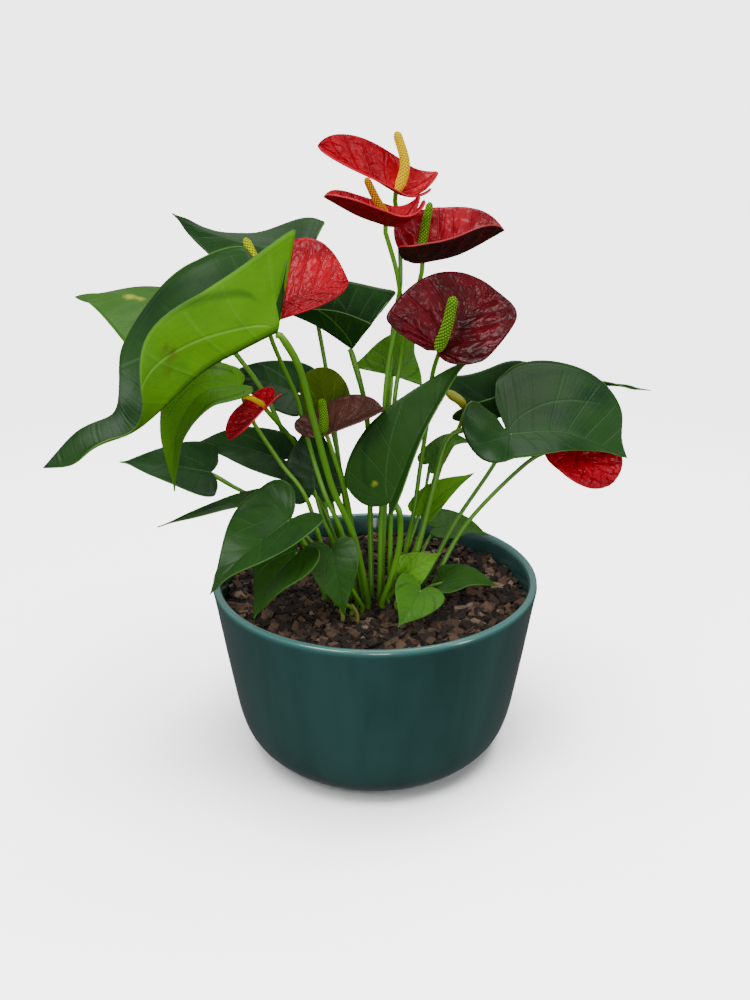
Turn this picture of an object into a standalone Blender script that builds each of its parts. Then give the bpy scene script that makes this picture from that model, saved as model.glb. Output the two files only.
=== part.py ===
"""A flamingo flower (anthurium) in a round glazed pot, at its real size. Tables are in millimetres, +Z up."""

import math

import bmesh
import bpy
import numpy as np
from mathutils import Vector

MM = 0.001

# Pot and soil
POT_SIDE = ((66, 0), (73, 3), (80, 8), (87, 17), (91.5, 30), (95, 50), (99, 76), (103, 104))
POT_LIP = ((105, 117), (104.5, 119.2), (102.8, 120), (100.6, 119.2), (99.4, 117))
WALL = 6.0
FLOOR_RADIUS = 64.0
SOIL_TOP = 106.0
SOIL_SHOULDER = 4.0
CRUMB_HEIGHT = 0.65
CRUMB_WAVES = ((0.31, 1.7, 0.23), (0.37, 1.3, 0.19))
FIT_GAP = 0.3
POT_STEPS = 40
SOIL_RINGS = 9
TURN_WELD = 1e-5
HOLE_SIDES = 8

# Stems
CROWN = (2.0, -20.0)
FOOT_DEPTH = 20.0
FOOT_SPACING = 7.35
FOOT_REACH = 0.62
COLLAR = 3.0
STEM_POINTS = 8
STEM_SWELL = 1.05
STEM_TAPER = 0.9
PUSH_ROUNDS = 300

# Blades
LEAF_THICK = 0.8
SPATHE_THICK = 0.9
NECK = 3.0
SEAT_GAP = 0.35
PEDUNCLE = 1.5

# Spadix: its facets, its girth from foot to tip and how far its florets stand out
SPADIX_SIDES = 10
SPADIX_RINGS = 13
SPADIX_NECK = 3.0
SPADIX_FOOT = 0.35
SPADIX_WIDENING = 2.4
SPADIX_TAPER = 0.25
SPADIX_FOOT_RADIUS = 0.8
FLORET_HIGH = 1.1
FLORET_LOW = 0.94

# Leaf outline from the back of a lobe to the tip: along the midrib, in lengths (behind the base, in lobe
# lengths), and across it, in half widths
POINTED = (
    (-0.86, 0.30), (-1.0, 0.50), (-0.86, 0.76), (-0.42, 0.95), (0.10, 1.0), (0.27, 0.92), (0.44, 0.74),
    (0.60, 0.51), (0.74, 0.30), (0.86, 0.13), (0.94, 0.045), (1.0, 0.0),
)
ROUND = (
    (-0.80, 0.14), (-1.0, 0.42), (-0.88, 0.74), (-0.42, 0.95), (0.12, 1.0), (0.36, 0.99), (0.57, 0.92),
    (0.74, 0.78), (0.87, 0.58), (0.95, 0.36), (0.99, 0.14), (1.0, 0.0),
)
# One half with a full round lobe, which closes the notch, and one with a lobe that is cut off square
LOBED = (
    (-0.25, -0.62), (-0.80, -0.78), (-1.06, 0.18), (-0.60, 0.92), (0.10, 1.0), (0.27, 0.92), (0.44, 0.74),
    (0.60, 0.51), (0.74, 0.30), (0.86, 0.13), (0.94, 0.045), (1.0, 0.0),
)
SQUARED = (
    (-0.90, 0.25), (-1.0, 0.55), (-0.98, 0.92), (-0.50, 0.98), (0.10, 1.0), (0.27, 0.92), (0.44, 0.74),
    (0.60, 0.51), (0.74, 0.30), (0.86, 0.13), (0.94, 0.045), (1.0, 0.0),
)
# One that is full nearly to its tip, one with a sharp corner beside the base, and one narrow at the base
FULL = (
    (-0.50, 0.24), (-1.0, 0.46), (-0.70, 0.70), (-0.20, 0.84), (0.08, 0.93), (0.20, 1.02), (0.36, 1.05),
    (0.54, 0.98), (0.71, 0.82), (0.84, 0.58), (0.91, 0.22), (1.0, 0.0),
)
CORNERED = (
    (-0.30, 0.30), (-0.60, 0.60), (-0.88, 0.88), (-1.0, 1.0), (0.10, 0.90), (0.27, 0.76), (0.44, 0.61),
    (0.60, 0.45), (0.74, 0.31), (0.86, 0.17), (0.94, 0.07), (1.0, 0.0),
)
SLENDER = (
    (-0.50, 0.12), (-1.0, 0.28), (-0.80, 0.48), (-0.20, 0.68), (0.13, 0.92), (0.28, 1.0), (0.44, 0.88),
    (0.60, 0.62), (0.74, 0.38), (0.86, 0.18), (0.94, 0.07), (1.0, 0.0),
)
# The hooded leaf's two halves differ: the near one is cornered, the far one fuller
HOODED = (
    (
        (-0.20, 0.30), (-0.45, 0.50), (-0.75, 0.76), (-1.0, 0.97), (0.02, 0.86), (0.16, 0.81), (0.32, 0.78),
        (0.45, 0.56), (0.56, 0.30), (0.68, 0.21), (0.84, 0.20), (1.0, 0.0),
    ),
    (
        (-0.86, 0.30), (-1.0, 0.50), (-0.86, 0.72), (-0.42, 0.86), (0.10, 0.91), (0.24, 0.92), (0.38, 0.86),
        (0.50, 0.66), (0.60, 0.37), (0.70, 0.20), (0.84, 0.16), (1.0, 0.0),
    ),
)
BROAD = (FULL, LOBED)
BACKED = (SQUARED, POINTED)
LOBE_SHARE = 0.34
RIB_STEPS = 40
LINE_POWER = 1.15
SINUS_BOW = 0.05
SINUS_END = 0.18
VEIN_BOW = 0.035
MAX_BEND = 1.5
SPLINE_STEPS = 16
STRAIGHT = 1e-3
WELD = 1e-6

# Each leaf: its midrib from base to tip, which way its upper side faces along the midrib, the half widths left
# and right of the midrib, how far each half is folded up (degrees) and the petiole's way down to the crown.
# Lobes are in midrib lengths; lift and curl bend them (degrees); sweep draws a margin towards the tip or the base
LEAVES = {
    "leaf_hooded_left": {
        "rib": ((-51, -72, 293), (-70, -76, 284), (-92, -80, 272), (-126, -84, 243), (-150, -84, 234),
                (-179, -84, 221)),
        "face": ((0.1, 0.2, 1), (0, 0.15, 1), (-0.1, -0.2, 0.9), (-0.3, -0.8, 0.5)),
        "width": (44, 70), "cup": ((80, 70, 26, 0), (54, 52, 40, 5)), "lobe": (0.2, 0.05), "lift": (0, 10),
        "outline": HOODED, "fine": True,
        "stem": ((-41, -62, 271), (-34, -52, 236), (-25, -42, 194), (-13, -34, 160)), "radius": 2.0,
    },
    "leaf_back_left": {
        "rib": ((-104, 40, 274), (-144, 46, 288), (-176, 50, 292), (-192, 50, 290)),
        "face": ((0.1, -0.5, 0.85), (0, -0.4, 0.9)),
        "width": (54, 36), "cup": (5, -18), "lobe": (0.2, 0.2), "lift": (10, 10), "slim": (0.7, 1), "fine": True,
        "stem": ((-88, 34, 256), (-70, 26, 232), (-56, 24, 200), (-34, 10, 160)), "radius": 1.7,
    },
    "leaf_back_top": {
        "rib": ((-43, 42, 318), (-84, 46, 325), (-110, 46, 333), (-125, 45, 342)),
        "face": ((0, -0.3, 1), (0, -0.35, 0.9)),
        "width": (36, 44), "cup": (-30, (8, -16, -20)), "lobe": (0.06, 0.06), "lift": (0, 45), "fine": True,
        "stem": ((-37, 38, 280), (-30, 36, 236), (-21, 20, 170)), "radius": 1.5,
    },
    "leaf_folded_middle": {
        "rib": ((-14, 12, 265), (-35, 16, 278), (-60, 20, 288)),
        "face": ((0.2, -0.05, 1), (0, -0.1, 1)),
        "width": (27, 46), "cup": (62, 54), "lobe": (0.05, 0.05), "lift": (0, 0), "slim": (1, 0.55),
        "outline": CORNERED, "fine": True,
        "stem": ((-7, 9, 235), (-4, 4, 208), (-3, 0, 153)), "radius": 1.8,
    },
    "leaf_behind_stems": {
        "rib": ((11, 46, 240), (16, 55, 254), (26, 62, 268)),
        "face": ((0, -0.7, 0.7), (0, -0.9, 0.4)),
        "width": (26, 21), "cup": (5, 5), "lobe": (0.05, 0.05), "lift": (0, 0), "outline": CORNERED,
        "stem": ((9, 38, 216), (7, 16, 166)), "radius": 1.4,
    },
    "leaf_drooping_left": {
        "rib": ((-77, -35, 254), (-98, -48, 252), (-112, -54, 230), (-115, -56, 197)),
        "face": ((-0.2, -0.5, 0.8), (-0.7, -0.7, 0.2), (-0.8, -0.6, -0.1)),
        "width": (18, 17), "cup": (10, 25), "roll": (10, 30), "lobe": (0.05, 0.05), "lift": (0, 0),
        "outline": SLENDER,
        "stem": ((-73, -28, 233), (-57, -25, 204), (-40, -28, 178)), "radius": 1.4,
    },
    "leaf_shaded_left": {
        "rib": ((-52, 50, 227), (-78, 54, 235), (-103, 56, 238)),
        "face": ((0, -0.6, 0.8), (0, -0.6, 0.8)),
        "width": (22, 22), "cup": (10, 10), "lobe": (0.2, 0.2), "lift": (0, 0),
        "stem": ((-44, 40, 208), (-30, 18, 170)), "radius": 1.3,
    },
    "leaf_round_olive": {
        "rib": ((-30, 18, 226), (-33, 21, 238), (-34, 22, 251)),
        "face": ((0, 0.9, 0.3), (0, 0.95, 0.1)),
        "width": (16, 16), "cup": (8, 8), "lobe": (0.2, 0.2), "lift": (0, 0), "outline": ROUND,
        "stem": ((-24, 13, 196), (-16, 5, 160)), "radius": 1.2,
    },
    "leaf_left_outer": {
        "rib": ((-100, -20, 196), (-126, -26, 203), (-152, -30, 206)),
        "face": ((0, -0.5, 0.85), (0, -0.6, 0.8)),
        "width": (22, 20), "cup": (10, 10), "lobe": (0.08, 0.08), "lift": (0, 0),
        "stem": ((-90, -16, 187), (-54, -13, 160)), "radius": 1.4,
    },
    "leaf_left_inner": {
        "rib": ((-58, 4, 196), (-89, 2, 206), (-119, 0, 206)),
        "face": ((0, -0.5, 0.85), (0, -0.6, 0.8)),
        "width": (20, 19), "cup": (12, 12), "lobe": (0.12, 0.12), "lift": (0, 0),
        "stem": ((-48, 0, 188), (-30, -6, 160)), "radius": 1.3,
    },
    "leaf_upright_left": {
        "rib": ((-37, -16, 184), (-38, -8, 206), (-37, 0, 228)),
        "face": ((0, -0.9, 0.3), (0, -0.95, 0.2)),
        "width": (20, 17), "cup": (8, 8), "lobe": (0.2, 0.2), "lift": (0, 0),
        "stem": ((-33, -17, 166), (-24, -19, 144)), "radius": 1.3,
    },
    "leaf_edge_on_left": {
        "rib": ((-64, -20, 181), (-91, -28, 178), (-130, -42, 169)),
        "face": ((0, -0.15, 1), (0, -0.1, 1)),
        "width": (12, 8), "cup": (10, 10), "lobe": (0.12, 0.12), "lift": (0, 0),
        "stem": ((-54, -27, 171), (-34, -33, 148)), "radius": 1.4,
    },
    "leaf_front_left": {
        "rib": ((-50, -50, 177), (-70, -68, 167), (-86, -78, 154), (-94, -82, 144)),
        "face": ((-0.2, -0.55, 0.8), (-0.4, -0.6, 0.6)),
        "width": (24, 29), "cup": (18, 12), "lobe": (0.2, 0.25), "lift": (0, 50), "fine": True,
        "stem": ((-44, -48, 165), (-32, -40, 138)), "radius": 1.5,
    },
    "leaf_front_low": {
        "rib": ((-46, -53, 157), (-60, -62, 144), (-72, -66, 120)),
        "face": ((-0.2, -0.6, 0.7), (-0.5, -0.6, 0.4)),
        "width": (17, 20), "cup": (12, 12), "lobe": (0.2, 0.12), "lift": (0, 0),
        "stem": ((-38, -49, 146), (-26, -44, 126)), "radius": 1.3,
    },
    "leaf_front_middle": {
        "rib": ((-26, -46, 156), (-23, -54, 142), (-18, -58, 118)),
        "face": ((0, -0.8, 0.6), (0, -0.95, 0.2)),
        "width": (16, 16), "cup": (12, 12), "lobe": (0.15, 0.15), "lift": (0, 0),
        "stem": ((-22, -43, 148), (-15, -38, 128)), "radius": 1.2,
    },
    "leaf_arrow_centre": {
        "rib": ((10, -33, 182), (22, -29, 213), (34, -22, 236), (47, -14, 255), (59, -8, 264)),
        "face": ((-0.3, -0.8, 0.4), (-0.2, -0.8, 0.3)),
        "width": (34, 15), "cup": (8, 60), "lobe": (0.1, 0.06), "lift": (0, 0), "sweep": (0.06, 0), "fine": True,
        "stem": ((15, -32, 173), (15, -30, 152), (10, -28, 128)), "radius": 1.9,
    },
    "leaf_broad_right": {
        "rib": ((82, -10, 217), (117, -8, 217), (154, -14, 203)),
        "face": ((-0.1, -0.15, 1), (0.2, -0.2, 0.95)),
        "width": (54, 20), "cup": (26, -20), "lobe": (0.07, 0.4), "lift": (0, 35), "curl": (0, -55),
        "outline": BROAD, "fine": True,
        "stem": ((66, 0, 215), (54, 2, 216), (44, 0, 208), (36, -7, 180), (26, -14, 140)), "radius": 2.0,
    },
    "leaf_back_right": {
        "rib": ((92, 46, 214), (125, 52, 226), (155, 54, 231), (182, 48, 229)),
        "face": ((-0.1, 0, 1), (0.1, -0.1, 1)),
        "width": (34, 32), "cup": ((62, 44, 10), (44, 34, 20)), "lobe": (0.4, 0.45), "lift": (34, 20),
        "slim": (2.8, 1.6), "outline": BACKED, "fine": True,
        "stem": ((86, 40, 202), (79, 32, 184), (52, 14, 148)), "radius": 1.5,
    },
    "leaf_small_back_right": {
        "rib": ((36, 32, 184), (50, 36, 198), (66, 38, 196)),
        "face": ((-0.3, -0.6, 0.7), (0, -0.5, 0.9)),
        "width": (10, 10), "cup": (10, 10), "lobe": (0.12, 0.12), "lift": (0, 0),
        "stem": ((33, 24, 168), (24, 10, 140)), "radius": 1.1,
    },
    "leaf_young_upright": {
        "rib": ((31, 0, 160), (44, 4, 174), (64, 8, 186)),
        "face": ((-0.4, -0.7, 0.5), (-0.3, -0.8, 0.4)),
        "width": (13, 9), "cup": (10, 20), "lobe": (0.1, 0.1), "lift": (0, 0),
        "stem": ((29, -4, 148), (25, -10, 130)), "radius": 1.2,
    },
    "leaf_small_right": {
        "rib": ((42, 32, 138), (60, 40, 136), (79, 46, 126)),
        "face": ((-0.1, -0.4, 0.9), (0.2, -0.3, 0.9)),
        "width": (16, 14), "cup": (10, 10), "lobe": (0.2, 0.2), "lift": (0, 0),
        "stem": ((35, 23, 131), (27, 9, 119)), "radius": 1.1,
    },
    "leaf_young_front": {
        "rib": ((18, -23, 128), (29, -22, 136), (42, -19, 142)),
        "face": ((-0.2, -0.7, 0.6), (-0.2, -0.7, 0.6)),
        "width": (12, 13), "cup": (8, 8), "lobe": (0.1, 0.1), "lift": (0, 0),
        "stem": ((15, -24, 121),), "radius": 1.1,
    },
    "leaf_low_front_right": {
        "rib": ((28, -40, 126), (22, -50, 120), (14, -58, 110)),
        "face": ((0.1, -0.7, 0.7), (-0.1, -0.9, 0.5)),
        "width": (16, 16), "cup": (10, 10), "lobe": (0.2, 0.2), "lift": (0, 0),
        "stem": ((26, -37, 121), (20, -32, 114)), "radius": 1.1,
    },
    "leaf_low_right": {
        "rib": ((45, -13, 119), (61, -14, 122), (79, -15, 117)),
        "face": ((-0.1, -0.4, 0.9), (0.1, -0.4, 0.9)),
        "width": (12, 11), "cup": (10, 10), "lobe": (0.15, 0.15), "lift": (0, 0),
        "stem": ((36, -15, 117), (28, -18, 113)), "radius": 1.0,
    },
}

# Each flower: its spathe like a leaf, with the peduncle's way down and the spadix's way up from the same base
FLOWERS = {
    "flower_top": {
        "rib": ((12, 7, 357), (-10, 4, 370), (-32, 1, 383)),
        "face": ((0.5, -0.4, 0.8), (0.3, -0.7, 0.6)),
        "width": (14, 18), "cup": (32, (44, 36)), "lobe": (0.4, 0.42), "lift": (80, 80),
        "stem": ((14, 15, 338), (15, 15, 321), (15, 12, 302), (11, 7, 280), (9, 3, 253), (5, -2, 215)),
        "spadix": ((17, 5, 373), (12, 6, 390)), "spadix_radius": 3.2, "colour": "red", "spadix_colour": "yellow",
    },
    "flower_second": {
        "rib": ((6, -16, 341), (-10, -20, 347), (-28, -24, 357)),
        "face": ((0.3, -0.1, 1), (0.3, -0.1, 1)),
        "width": (14, 14), "cup": (40, 40), "lobe": (0.62, 0.62), "lift": (100, 100),
        "stem": ((13, -10, 312), (14, -8, 290), (6, -10, 240)),
        "spadix": ((1, -24, 355), (-5, -26, 367)), "spadix_radius": 2.6, "colour": "red",
        "spadix_colour": "orange",
    },
    "flower_cupped": {
        "rib": ((27, -12, 320), (48, -13, 325), (73, -12, 338)),
        "face": ((-0.2, -0.1, 1), (-0.3, -0.1, 1)),
        "width": (36, 24), "cup": (40, 38), "lobe": (0.28, 0.25), "lift": (40, 40),
        "stem": ((24, -10, 302), (18, -6, 279), (15, -3, 259), (11, -8, 223)),
        "spadix": ((28, -11, 338), (31, -10, 353)), "spadix_radius": 2.8, "colour": "red",
        "spadix_colour": "green",
    },
    "flower_maroon": {
        "rib": ((37, -31, 275), (52, -27, 292), (67, -20, 307)),
        "face": ((-0.2, -0.9, 0.35), (-0.2, -0.9, 0.4)),
        "width": (36, 27), "cup": (12, 16), "lobe": (0.16, 0.12), "lift": (0, 0), "sweep": (-0.1, 0.3),
        "stem": ((34, -12, 254), (33, 0, 228), (29, 2, 196), (24, -4, 160)),
        "spadix": ((40, -40, 289), (43, -43, 306)), "spadix_radius": 3.6, "colour": "maroon",
        "spadix_colour": "green",
    },
    "flower_left": {
        "rib": ((-56, -24, 298), (-37, -23, 304), (-15, -20, 311)),
        "face": ((-0.3, -0.7, 0.6), (-0.2, -0.7, 0.6)),
        "width": (35, 12), "cup": (10, 10), "lobe": (0.2, 0.2), "lift": (0, 0), "sweep": (0.18, 0),
        "stem": ((-61, -20, 282), (-48, -3, 239), (-44, -4, 222), (-35, -22, 197), (-29, -26, 180), (-20, -24, 156)),
        "spadix": ((-64, -28, 318), (-72, -24, 335)), "spadix_radius": 3.0, "colour": "red",
        "spadix_colour": "yellow",
    },
    "flower_brown": {
        "rib": ((-29, -26, 222), (-12, -25, 230), (5, -22, 236)),
        "face": ((-0.1, -0.3, 1), (-0.1, -0.4, 0.9)),
        "width": (20, 12), "cup": (20, 30), "lobe": (0.45, 0.3), "lift": (35, 70),
        "stem": ((-24, -24, 205), (-19, -21, 186), (-14, -17, 155)),
        "spadix": ((-30, -30, 234), (-31, -32, 245)), "spadix_radius": 3.0, "colour": "brown",
        "spadix_colour": "green",
    },
    "flower_young": {
        "rib": ((-63, -40, 242), (-72, -45, 235), (-83, -50, 226)),
        "face": ((-0.7, -0.5, 0.7), (-0.7, -0.6, 0.5)),
        "width": (12, 12), "cup": (30, 30), "lobe": (0.42, 0.42), "lift": (0, 0),
        "stem": ((-58, -22, 228), (-50, 0, 208), (-34, 0, 176)),
        "spadix": ((-72, -42, 249), (-79, -44, 250)), "spadix_radius": 1.6, "colour": "red",
        "spadix_colour": "yellow",
    },
    "flower_right": {
        "rib": ((124, 2, 204), (136, -6, 196), (146, -14, 186)),
        "face": ((0.1, -0.8, 0.6), (0.2, -0.9, 0.3)),
        "width": (20, 20), "cup": (12, 12), "lobe": (0.4, 0.4), "lift": (0, 0),
        "stem": ((115, 8, 201), (96, 8, 192), (59, 6, 151)),
        "spadix": ((128, -6, 207), (133, -10, 211)), "spadix_radius": 2.0, "colour": "red",
        "spadix_colour": "yellow",
    },
}

# The furled flower bud and the two dry sheaths at the crown: their way up, with a radius at each point
BUD_GIRTH = ((0, 0.8, 0.9, 1), (1.6, 1.2, 3.2, 1.0))
SHEATH_TAPER = 0.6
BUD = ((52, 5, 216), (55, 2, 228), (53, 0, 234), (47, -1, 239), (41, -2, 243))
BUD_STEM = ((45, 8, 200), (38, 14, 172), (28, 12, 136))
SHEATHS = {
    "sheath_green": {"way": ((-20, -44, 112), (-22, -47, 122)), "radius": 1.6},
    "sheath_yellow": {"way": ((-11, -46, 112), (-14, -50, 121)), "radius": 1.5},
}

COLOURS = {
    "glaze_teal": ((0.012, 0.115, 0.125), 0.12),
    "soil_bark": ((0.022, 0.013, 0.009), 0.9),
    "leaf_green": ((0.018, 0.085, 0.016), 0.28),
    "stem_green": ((0.16, 0.33, 0.03), 0.4),
    "spathe_red": ((0.50, 0.008, 0.016), 0.2),
    "spathe_maroon": ((0.13, 0.008, 0.018), 0.2),
    "spathe_brown": ((0.12, 0.030, 0.026), 0.3),
    "spadix_green": ((0.26, 0.50, 0.03), 0.5),
    "spadix_yellow": ((0.85, 0.68, 0.01), 0.5),
    "spadix_orange": ((0.70, 0.28, 0.02), 0.5),
    "bud_green": ((0.42, 0.40, 0.03), 0.4),
    "sheath_dry": ((0.42, 0.42, 0.12), 0.6),
}


def clear():
    for thing in list(bpy.data.objects):
        bpy.data.objects.remove(thing, do_unlink=True)


def material(name):
    colour, roughness = COLOURS[name]
    found = bpy.data.materials.get(name)
    if found:
        return found
    made = bpy.data.materials.new(name)
    made.use_nodes = True
    shader = made.node_tree.nodes["Principled BSDF"]
    shader.inputs["Base Color"].default_value = (*colour, 1.0)
    shader.inputs["Roughness"].default_value = roughness
    shader.inputs["Metallic"].default_value = 0.0
    made.diffuse_color = (*colour, 1.0)
    return made


def unit(vector):
    vector = np.asarray(vector, float)
    return vector / np.linalg.norm(vector)


def spline_point(before, start, end, after, t):
    """Point at share t of the Catmull-Rom stretch from start to end."""
    return 0.5 * (
        2 * start
        + (end - before) * t
        + (2 * before - 5 * start + 4 * end - after) * t**2
        + (3 * start - before - 3 * end + after) * t**3
    )


def smooth_curve(points, count):
    """count points evenly spaced along a smooth curve through the given ones, and its length."""
    given = np.asarray(points, float)
    padded = np.vstack([2 * given[0] - given[1], given, 2 * given[-1] - given[-2]])
    fine = [
        spline_point(*padded[i : i + 4], t)
        for i in range(len(given) - 1)
        for t in np.linspace(0, 1, SPLINE_STEPS, endpoint=False)
    ]
    fine = np.array(fine + [given[-1]])
    run = np.concatenate([[0], np.cumsum(np.linalg.norm(np.diff(fine, axis=0), axis=1))])
    places = np.linspace(0, run[-1], count)
    return np.stack([np.interp(places, run, fine[:, axis]) for axis in range(3)], -1), run[-1]


def along(values, share):
    """Value at a share of the way from base to tip, of one value or of several spread evenly."""
    if np.isscalar(values):
        return float(values)
    place = min(max(share, 0), 1) * (len(values) - 1)
    first = int(min(place, len(values) - 2))
    blend = place - first
    blend = blend * blend * (3 - 2 * blend)
    return np.asarray(values[first]) * (1 - blend) + np.asarray(values[first + 1]) * blend


class Blade:
    """A leaf's or spathe's middle surface: a midrib with two cupped halves and a lobe behind each."""

    def __init__(self, plan):
        self.plan = plan
        self.rib, self.length = smooth_curve(plan["rib"], RIB_STEPS + 1)
        self.tangents = np.gradient(self.rib, axis=0)
        outline = plan.get("outline", POINTED)
        self.outlines = outline if len(outline) == 2 else (outline, outline)

    def margin(self, v, half):
        """Edge of the flat blade at v, 0 behind the lobe and 1 at the tip."""
        outline = np.array(self.outlines[half])
        outline[outline[:, 0] < 0, 0] *= self.plan["lobe"][half]
        outline[4:-1, 1] **= self.plan.get("slim", (1, 1))[half]
        place = v * (len(outline) - 1)
        first = int(min(place, len(outline) - 2))
        padded = np.vstack([2 * outline[0] - outline[1], outline, 2 * outline[-1] - outline[-2]])
        return spline_point(*padded[first : first + 4], place - first)

    def flat(self, v, u, half):
        """Place on the flat blade: along the midrib in lengths, across it in half widths."""
        edge_along, edge_across = self.margin(v, half)
        start = max(0.0, (v - LOBE_SHARE) / (1 - LOBE_SHARE)) ** LINE_POWER
        bow = math.sin(math.pi * u)
        place = start + (edge_along - start) * u
        across = edge_across * u - SINUS_BOW * bow * max(0.0, 1 - v / SINUS_END)
        if v > LOBE_SHARE:
            place += VEIN_BOW * bow * (1 - v)
        place += self.plan.get("sweep", (0, 0))[half] * across**2
        return place, max(across, min(edge_across * u, 0.0))

    def frame(self, place, half):
        """Point on the midrib, or on the lobe's axis behind its base, with its directions."""
        step = min(max(place, 0), 1) * RIB_STEPS
        first = int(min(step, RIB_STEPS - 1))
        blend = step - first
        point = self.rib[first] * (1 - blend) + self.rib[first + 1] * blend
        ahead = unit(self.tangents[first] * (1 - blend) + self.tangents[first + 1] * blend)
        face = along(self.plan["face"], place)
        up = unit(face - ahead * (face @ ahead))
        left = np.cross(up, ahead)
        if place < 0:
            reach = self.plan["lobe"][half] * self.length
            back = -place * self.length
            turn = math.radians(self.plan["lift"][half]) * min(back / reach, MAX_BEND)
            if abs(turn) < STRAIGHT:
                point = point - ahead * back
            else:
                bend = back / turn
                point = point - ahead * bend * math.sin(turn) + up * bend * (1 - math.cos(turn))
        return point, up, left

    def at(self, v, across_share):
        """Point of the blade at v along its margin and from -1, the left margin, to 1, the right one."""
        half = 0 if across_share < 0 else 1
        side = 1 if across_share < 0 else -1
        plan = self.plan
        place, across = self.flat(v, abs(across_share), half)
        point, up, left = self.frame(place, half)
        cup = math.radians(along(plan["cup"][half], place))
        if place < 0:
            cup += math.radians(plan.get("curl", (0, 0))[half]) * -place / plan["lobe"][half]
        roll = math.radians(plan.get("roll", (0, 0))[half])
        width = plan["width"][half]
        if abs(roll) < STRAIGHT:
            out, rise = across * width * math.cos(cup), across * width * math.sin(cup)
        else:
            out = width / roll * (math.sin(cup + roll * across) - math.sin(cup))
            rise = width / roll * (math.cos(cup) - math.cos(cup + roll * across))
        return point + left * side * out + up * rise

    def base(self):
        point, up, _ = self.frame(0, 0)
        return point, up


def crown_feet(plans):
    """Where each stem enters the soil: on its own side of the crown, pushed apart to the spacing."""
    crown = np.array(CROWN)
    places = np.array([crown + FOOT_REACH * (np.array(plan["stem"][-1][:2]) - crown) for plan in plans.values()])
    for _ in range(PUSH_ROUNDS):
        for one in range(len(places)):
            for other in range(one + 1, len(places)):
                gap = places[other] - places[one]
                distance = np.linalg.norm(gap)
                if distance < FOOT_SPACING:
                    push = (FOOT_SPACING - distance) / 2 * gap / distance
                    places[one] -= push
                    places[other] += push
    return dict(zip(plans, places))


def stem_way(foot, plan, end):
    """Upright in the soil, then a smooth curve through the plan's points to the blade."""
    low = (foot[0], foot[1], SOIL_TOP - FOOT_DEPTH)
    collar = (foot[0], foot[1], SOIL_TOP + COLLAR)
    above = (foot[0], foot[1], SOIL_TOP + 2 * COLLAR)
    curve, _ = smooth_curve([collar, above, *reversed(plan["stem"]), *end], STEM_POINTS)
    return np.vstack([low, curve])


def tube(name, points, radii, sides_level=1):
    """A curve with round section and filled caps."""
    curve = bpy.data.curves.new(name, "CURVE")
    curve.dimensions = "3D"
    curve.bevel_depth = MM
    curve.bevel_resolution = sides_level
    curve.use_fill_caps = True
    spline = curve.splines.new("POLY")
    spline.points.add(len(points) - 1)
    for place, point, radius in zip(spline.points, points, radii):
        place.co = (*(Vector(point) * MM), 1.0)
        place.radius = radius
    return bpy.data.objects.new(name, curve)


def as_mesh(thing, group):
    """The object's evaluated mesh, as a new object in the group; the first one is removed."""
    graph = bpy.context.evaluated_depsgraph_get()
    mesh = bpy.data.meshes.new_from_object(thing.evaluated_get(graph), depsgraph=graph)
    work = bmesh.new()
    work.from_mesh(mesh)
    bmesh.ops.remove_doubles(work, verts=work.verts, dist=WELD)
    bmesh.ops.recalc_face_normals(work, faces=work.faces)
    work.to_mesh(mesh)
    work.free()
    made = bpy.data.objects.new(thing.name + "_mesh", mesh)
    made.matrix_world = thing.matrix_world
    bpy.data.objects.remove(thing, do_unlink=True)
    group.objects.link(made)
    return made


def blade_object(name, plan, thickness, group):
    """A grid laid on the blade, split into triangles and thickened."""
    blade = Blade(plan)
    across = 3 if plan.get("fine") or thickness == SPATHE_THICK else 2
    rows = 9 if plan.get("fine") else 8
    work = bmesh.new()
    bmesh.ops.create_grid(work, x_segments=2 * across, y_segments=rows, size=1.0)
    for vert in work.verts:
        vert.co = Vector(blade.at((vert.co.y + 1) / 2, vert.co.x)) * MM
    bmesh.ops.remove_doubles(work, verts=work.verts, dist=WELD)
    bmesh.ops.triangulate(work, faces=work.faces)
    bmesh.ops.recalc_face_normals(work, faces=work.faces)
    mesh = bpy.data.meshes.new(name)
    work.to_mesh(mesh)
    work.free()
    made = bpy.data.objects.new(name, mesh)
    solid = made.modifiers.new("thickness", "SOLIDIFY")
    solid.thickness = thickness * MM
    solid.offset = 0.0
    group.objects.link(made)
    return made


def unite(name, pieces, group, colour):
    """One solid from meshes that overlap, by a union on a collection that is then emptied."""
    joined = bpy.data.collections.new(name + "_pieces")
    bpy.context.scene.collection.children.link(joined)
    first, *others = pieces
    for piece in others:
        for owner in list(piece.users_collection):
            owner.objects.unlink(piece)
        joined.objects.link(piece)
    union = first.modifiers.new("union", "BOOLEAN")
    union.operation = "UNION"
    union.solver = "MANIFOLD"
    union.operand_type = "COLLECTION"
    union.collection = joined
    bpy.context.view_layer.update()
    made = as_mesh(first, group)
    made.name = name
    made.data.name = name
    made.data.materials.clear()
    made.data.materials.append(material(colour))
    for piece in list(joined.objects):
        bpy.data.objects.remove(piece, do_unlink=True)
    bpy.data.collections.remove(joined)
    return made


def stem_radii(radius, count):
    return np.linspace(radius * STEM_SWELL, radius * STEM_TAPER, count)


def leaf(name, plan, foot, group):
    """Blade and petiole in one solid."""
    base, up = Blade(plan).base()
    way = stem_way(foot, plan, [base + up * LEAF_THICK])
    stem = tube(name + "_petiole", way, stem_radii(plan["radius"], len(way)))
    group.objects.link(stem)
    stem = as_mesh(stem, group)
    blade = as_mesh(blade_object(name + "_blade", plan, LEAF_THICK, group), group)
    return unite(name, [blade, stem], group, "leaf_green")


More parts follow.
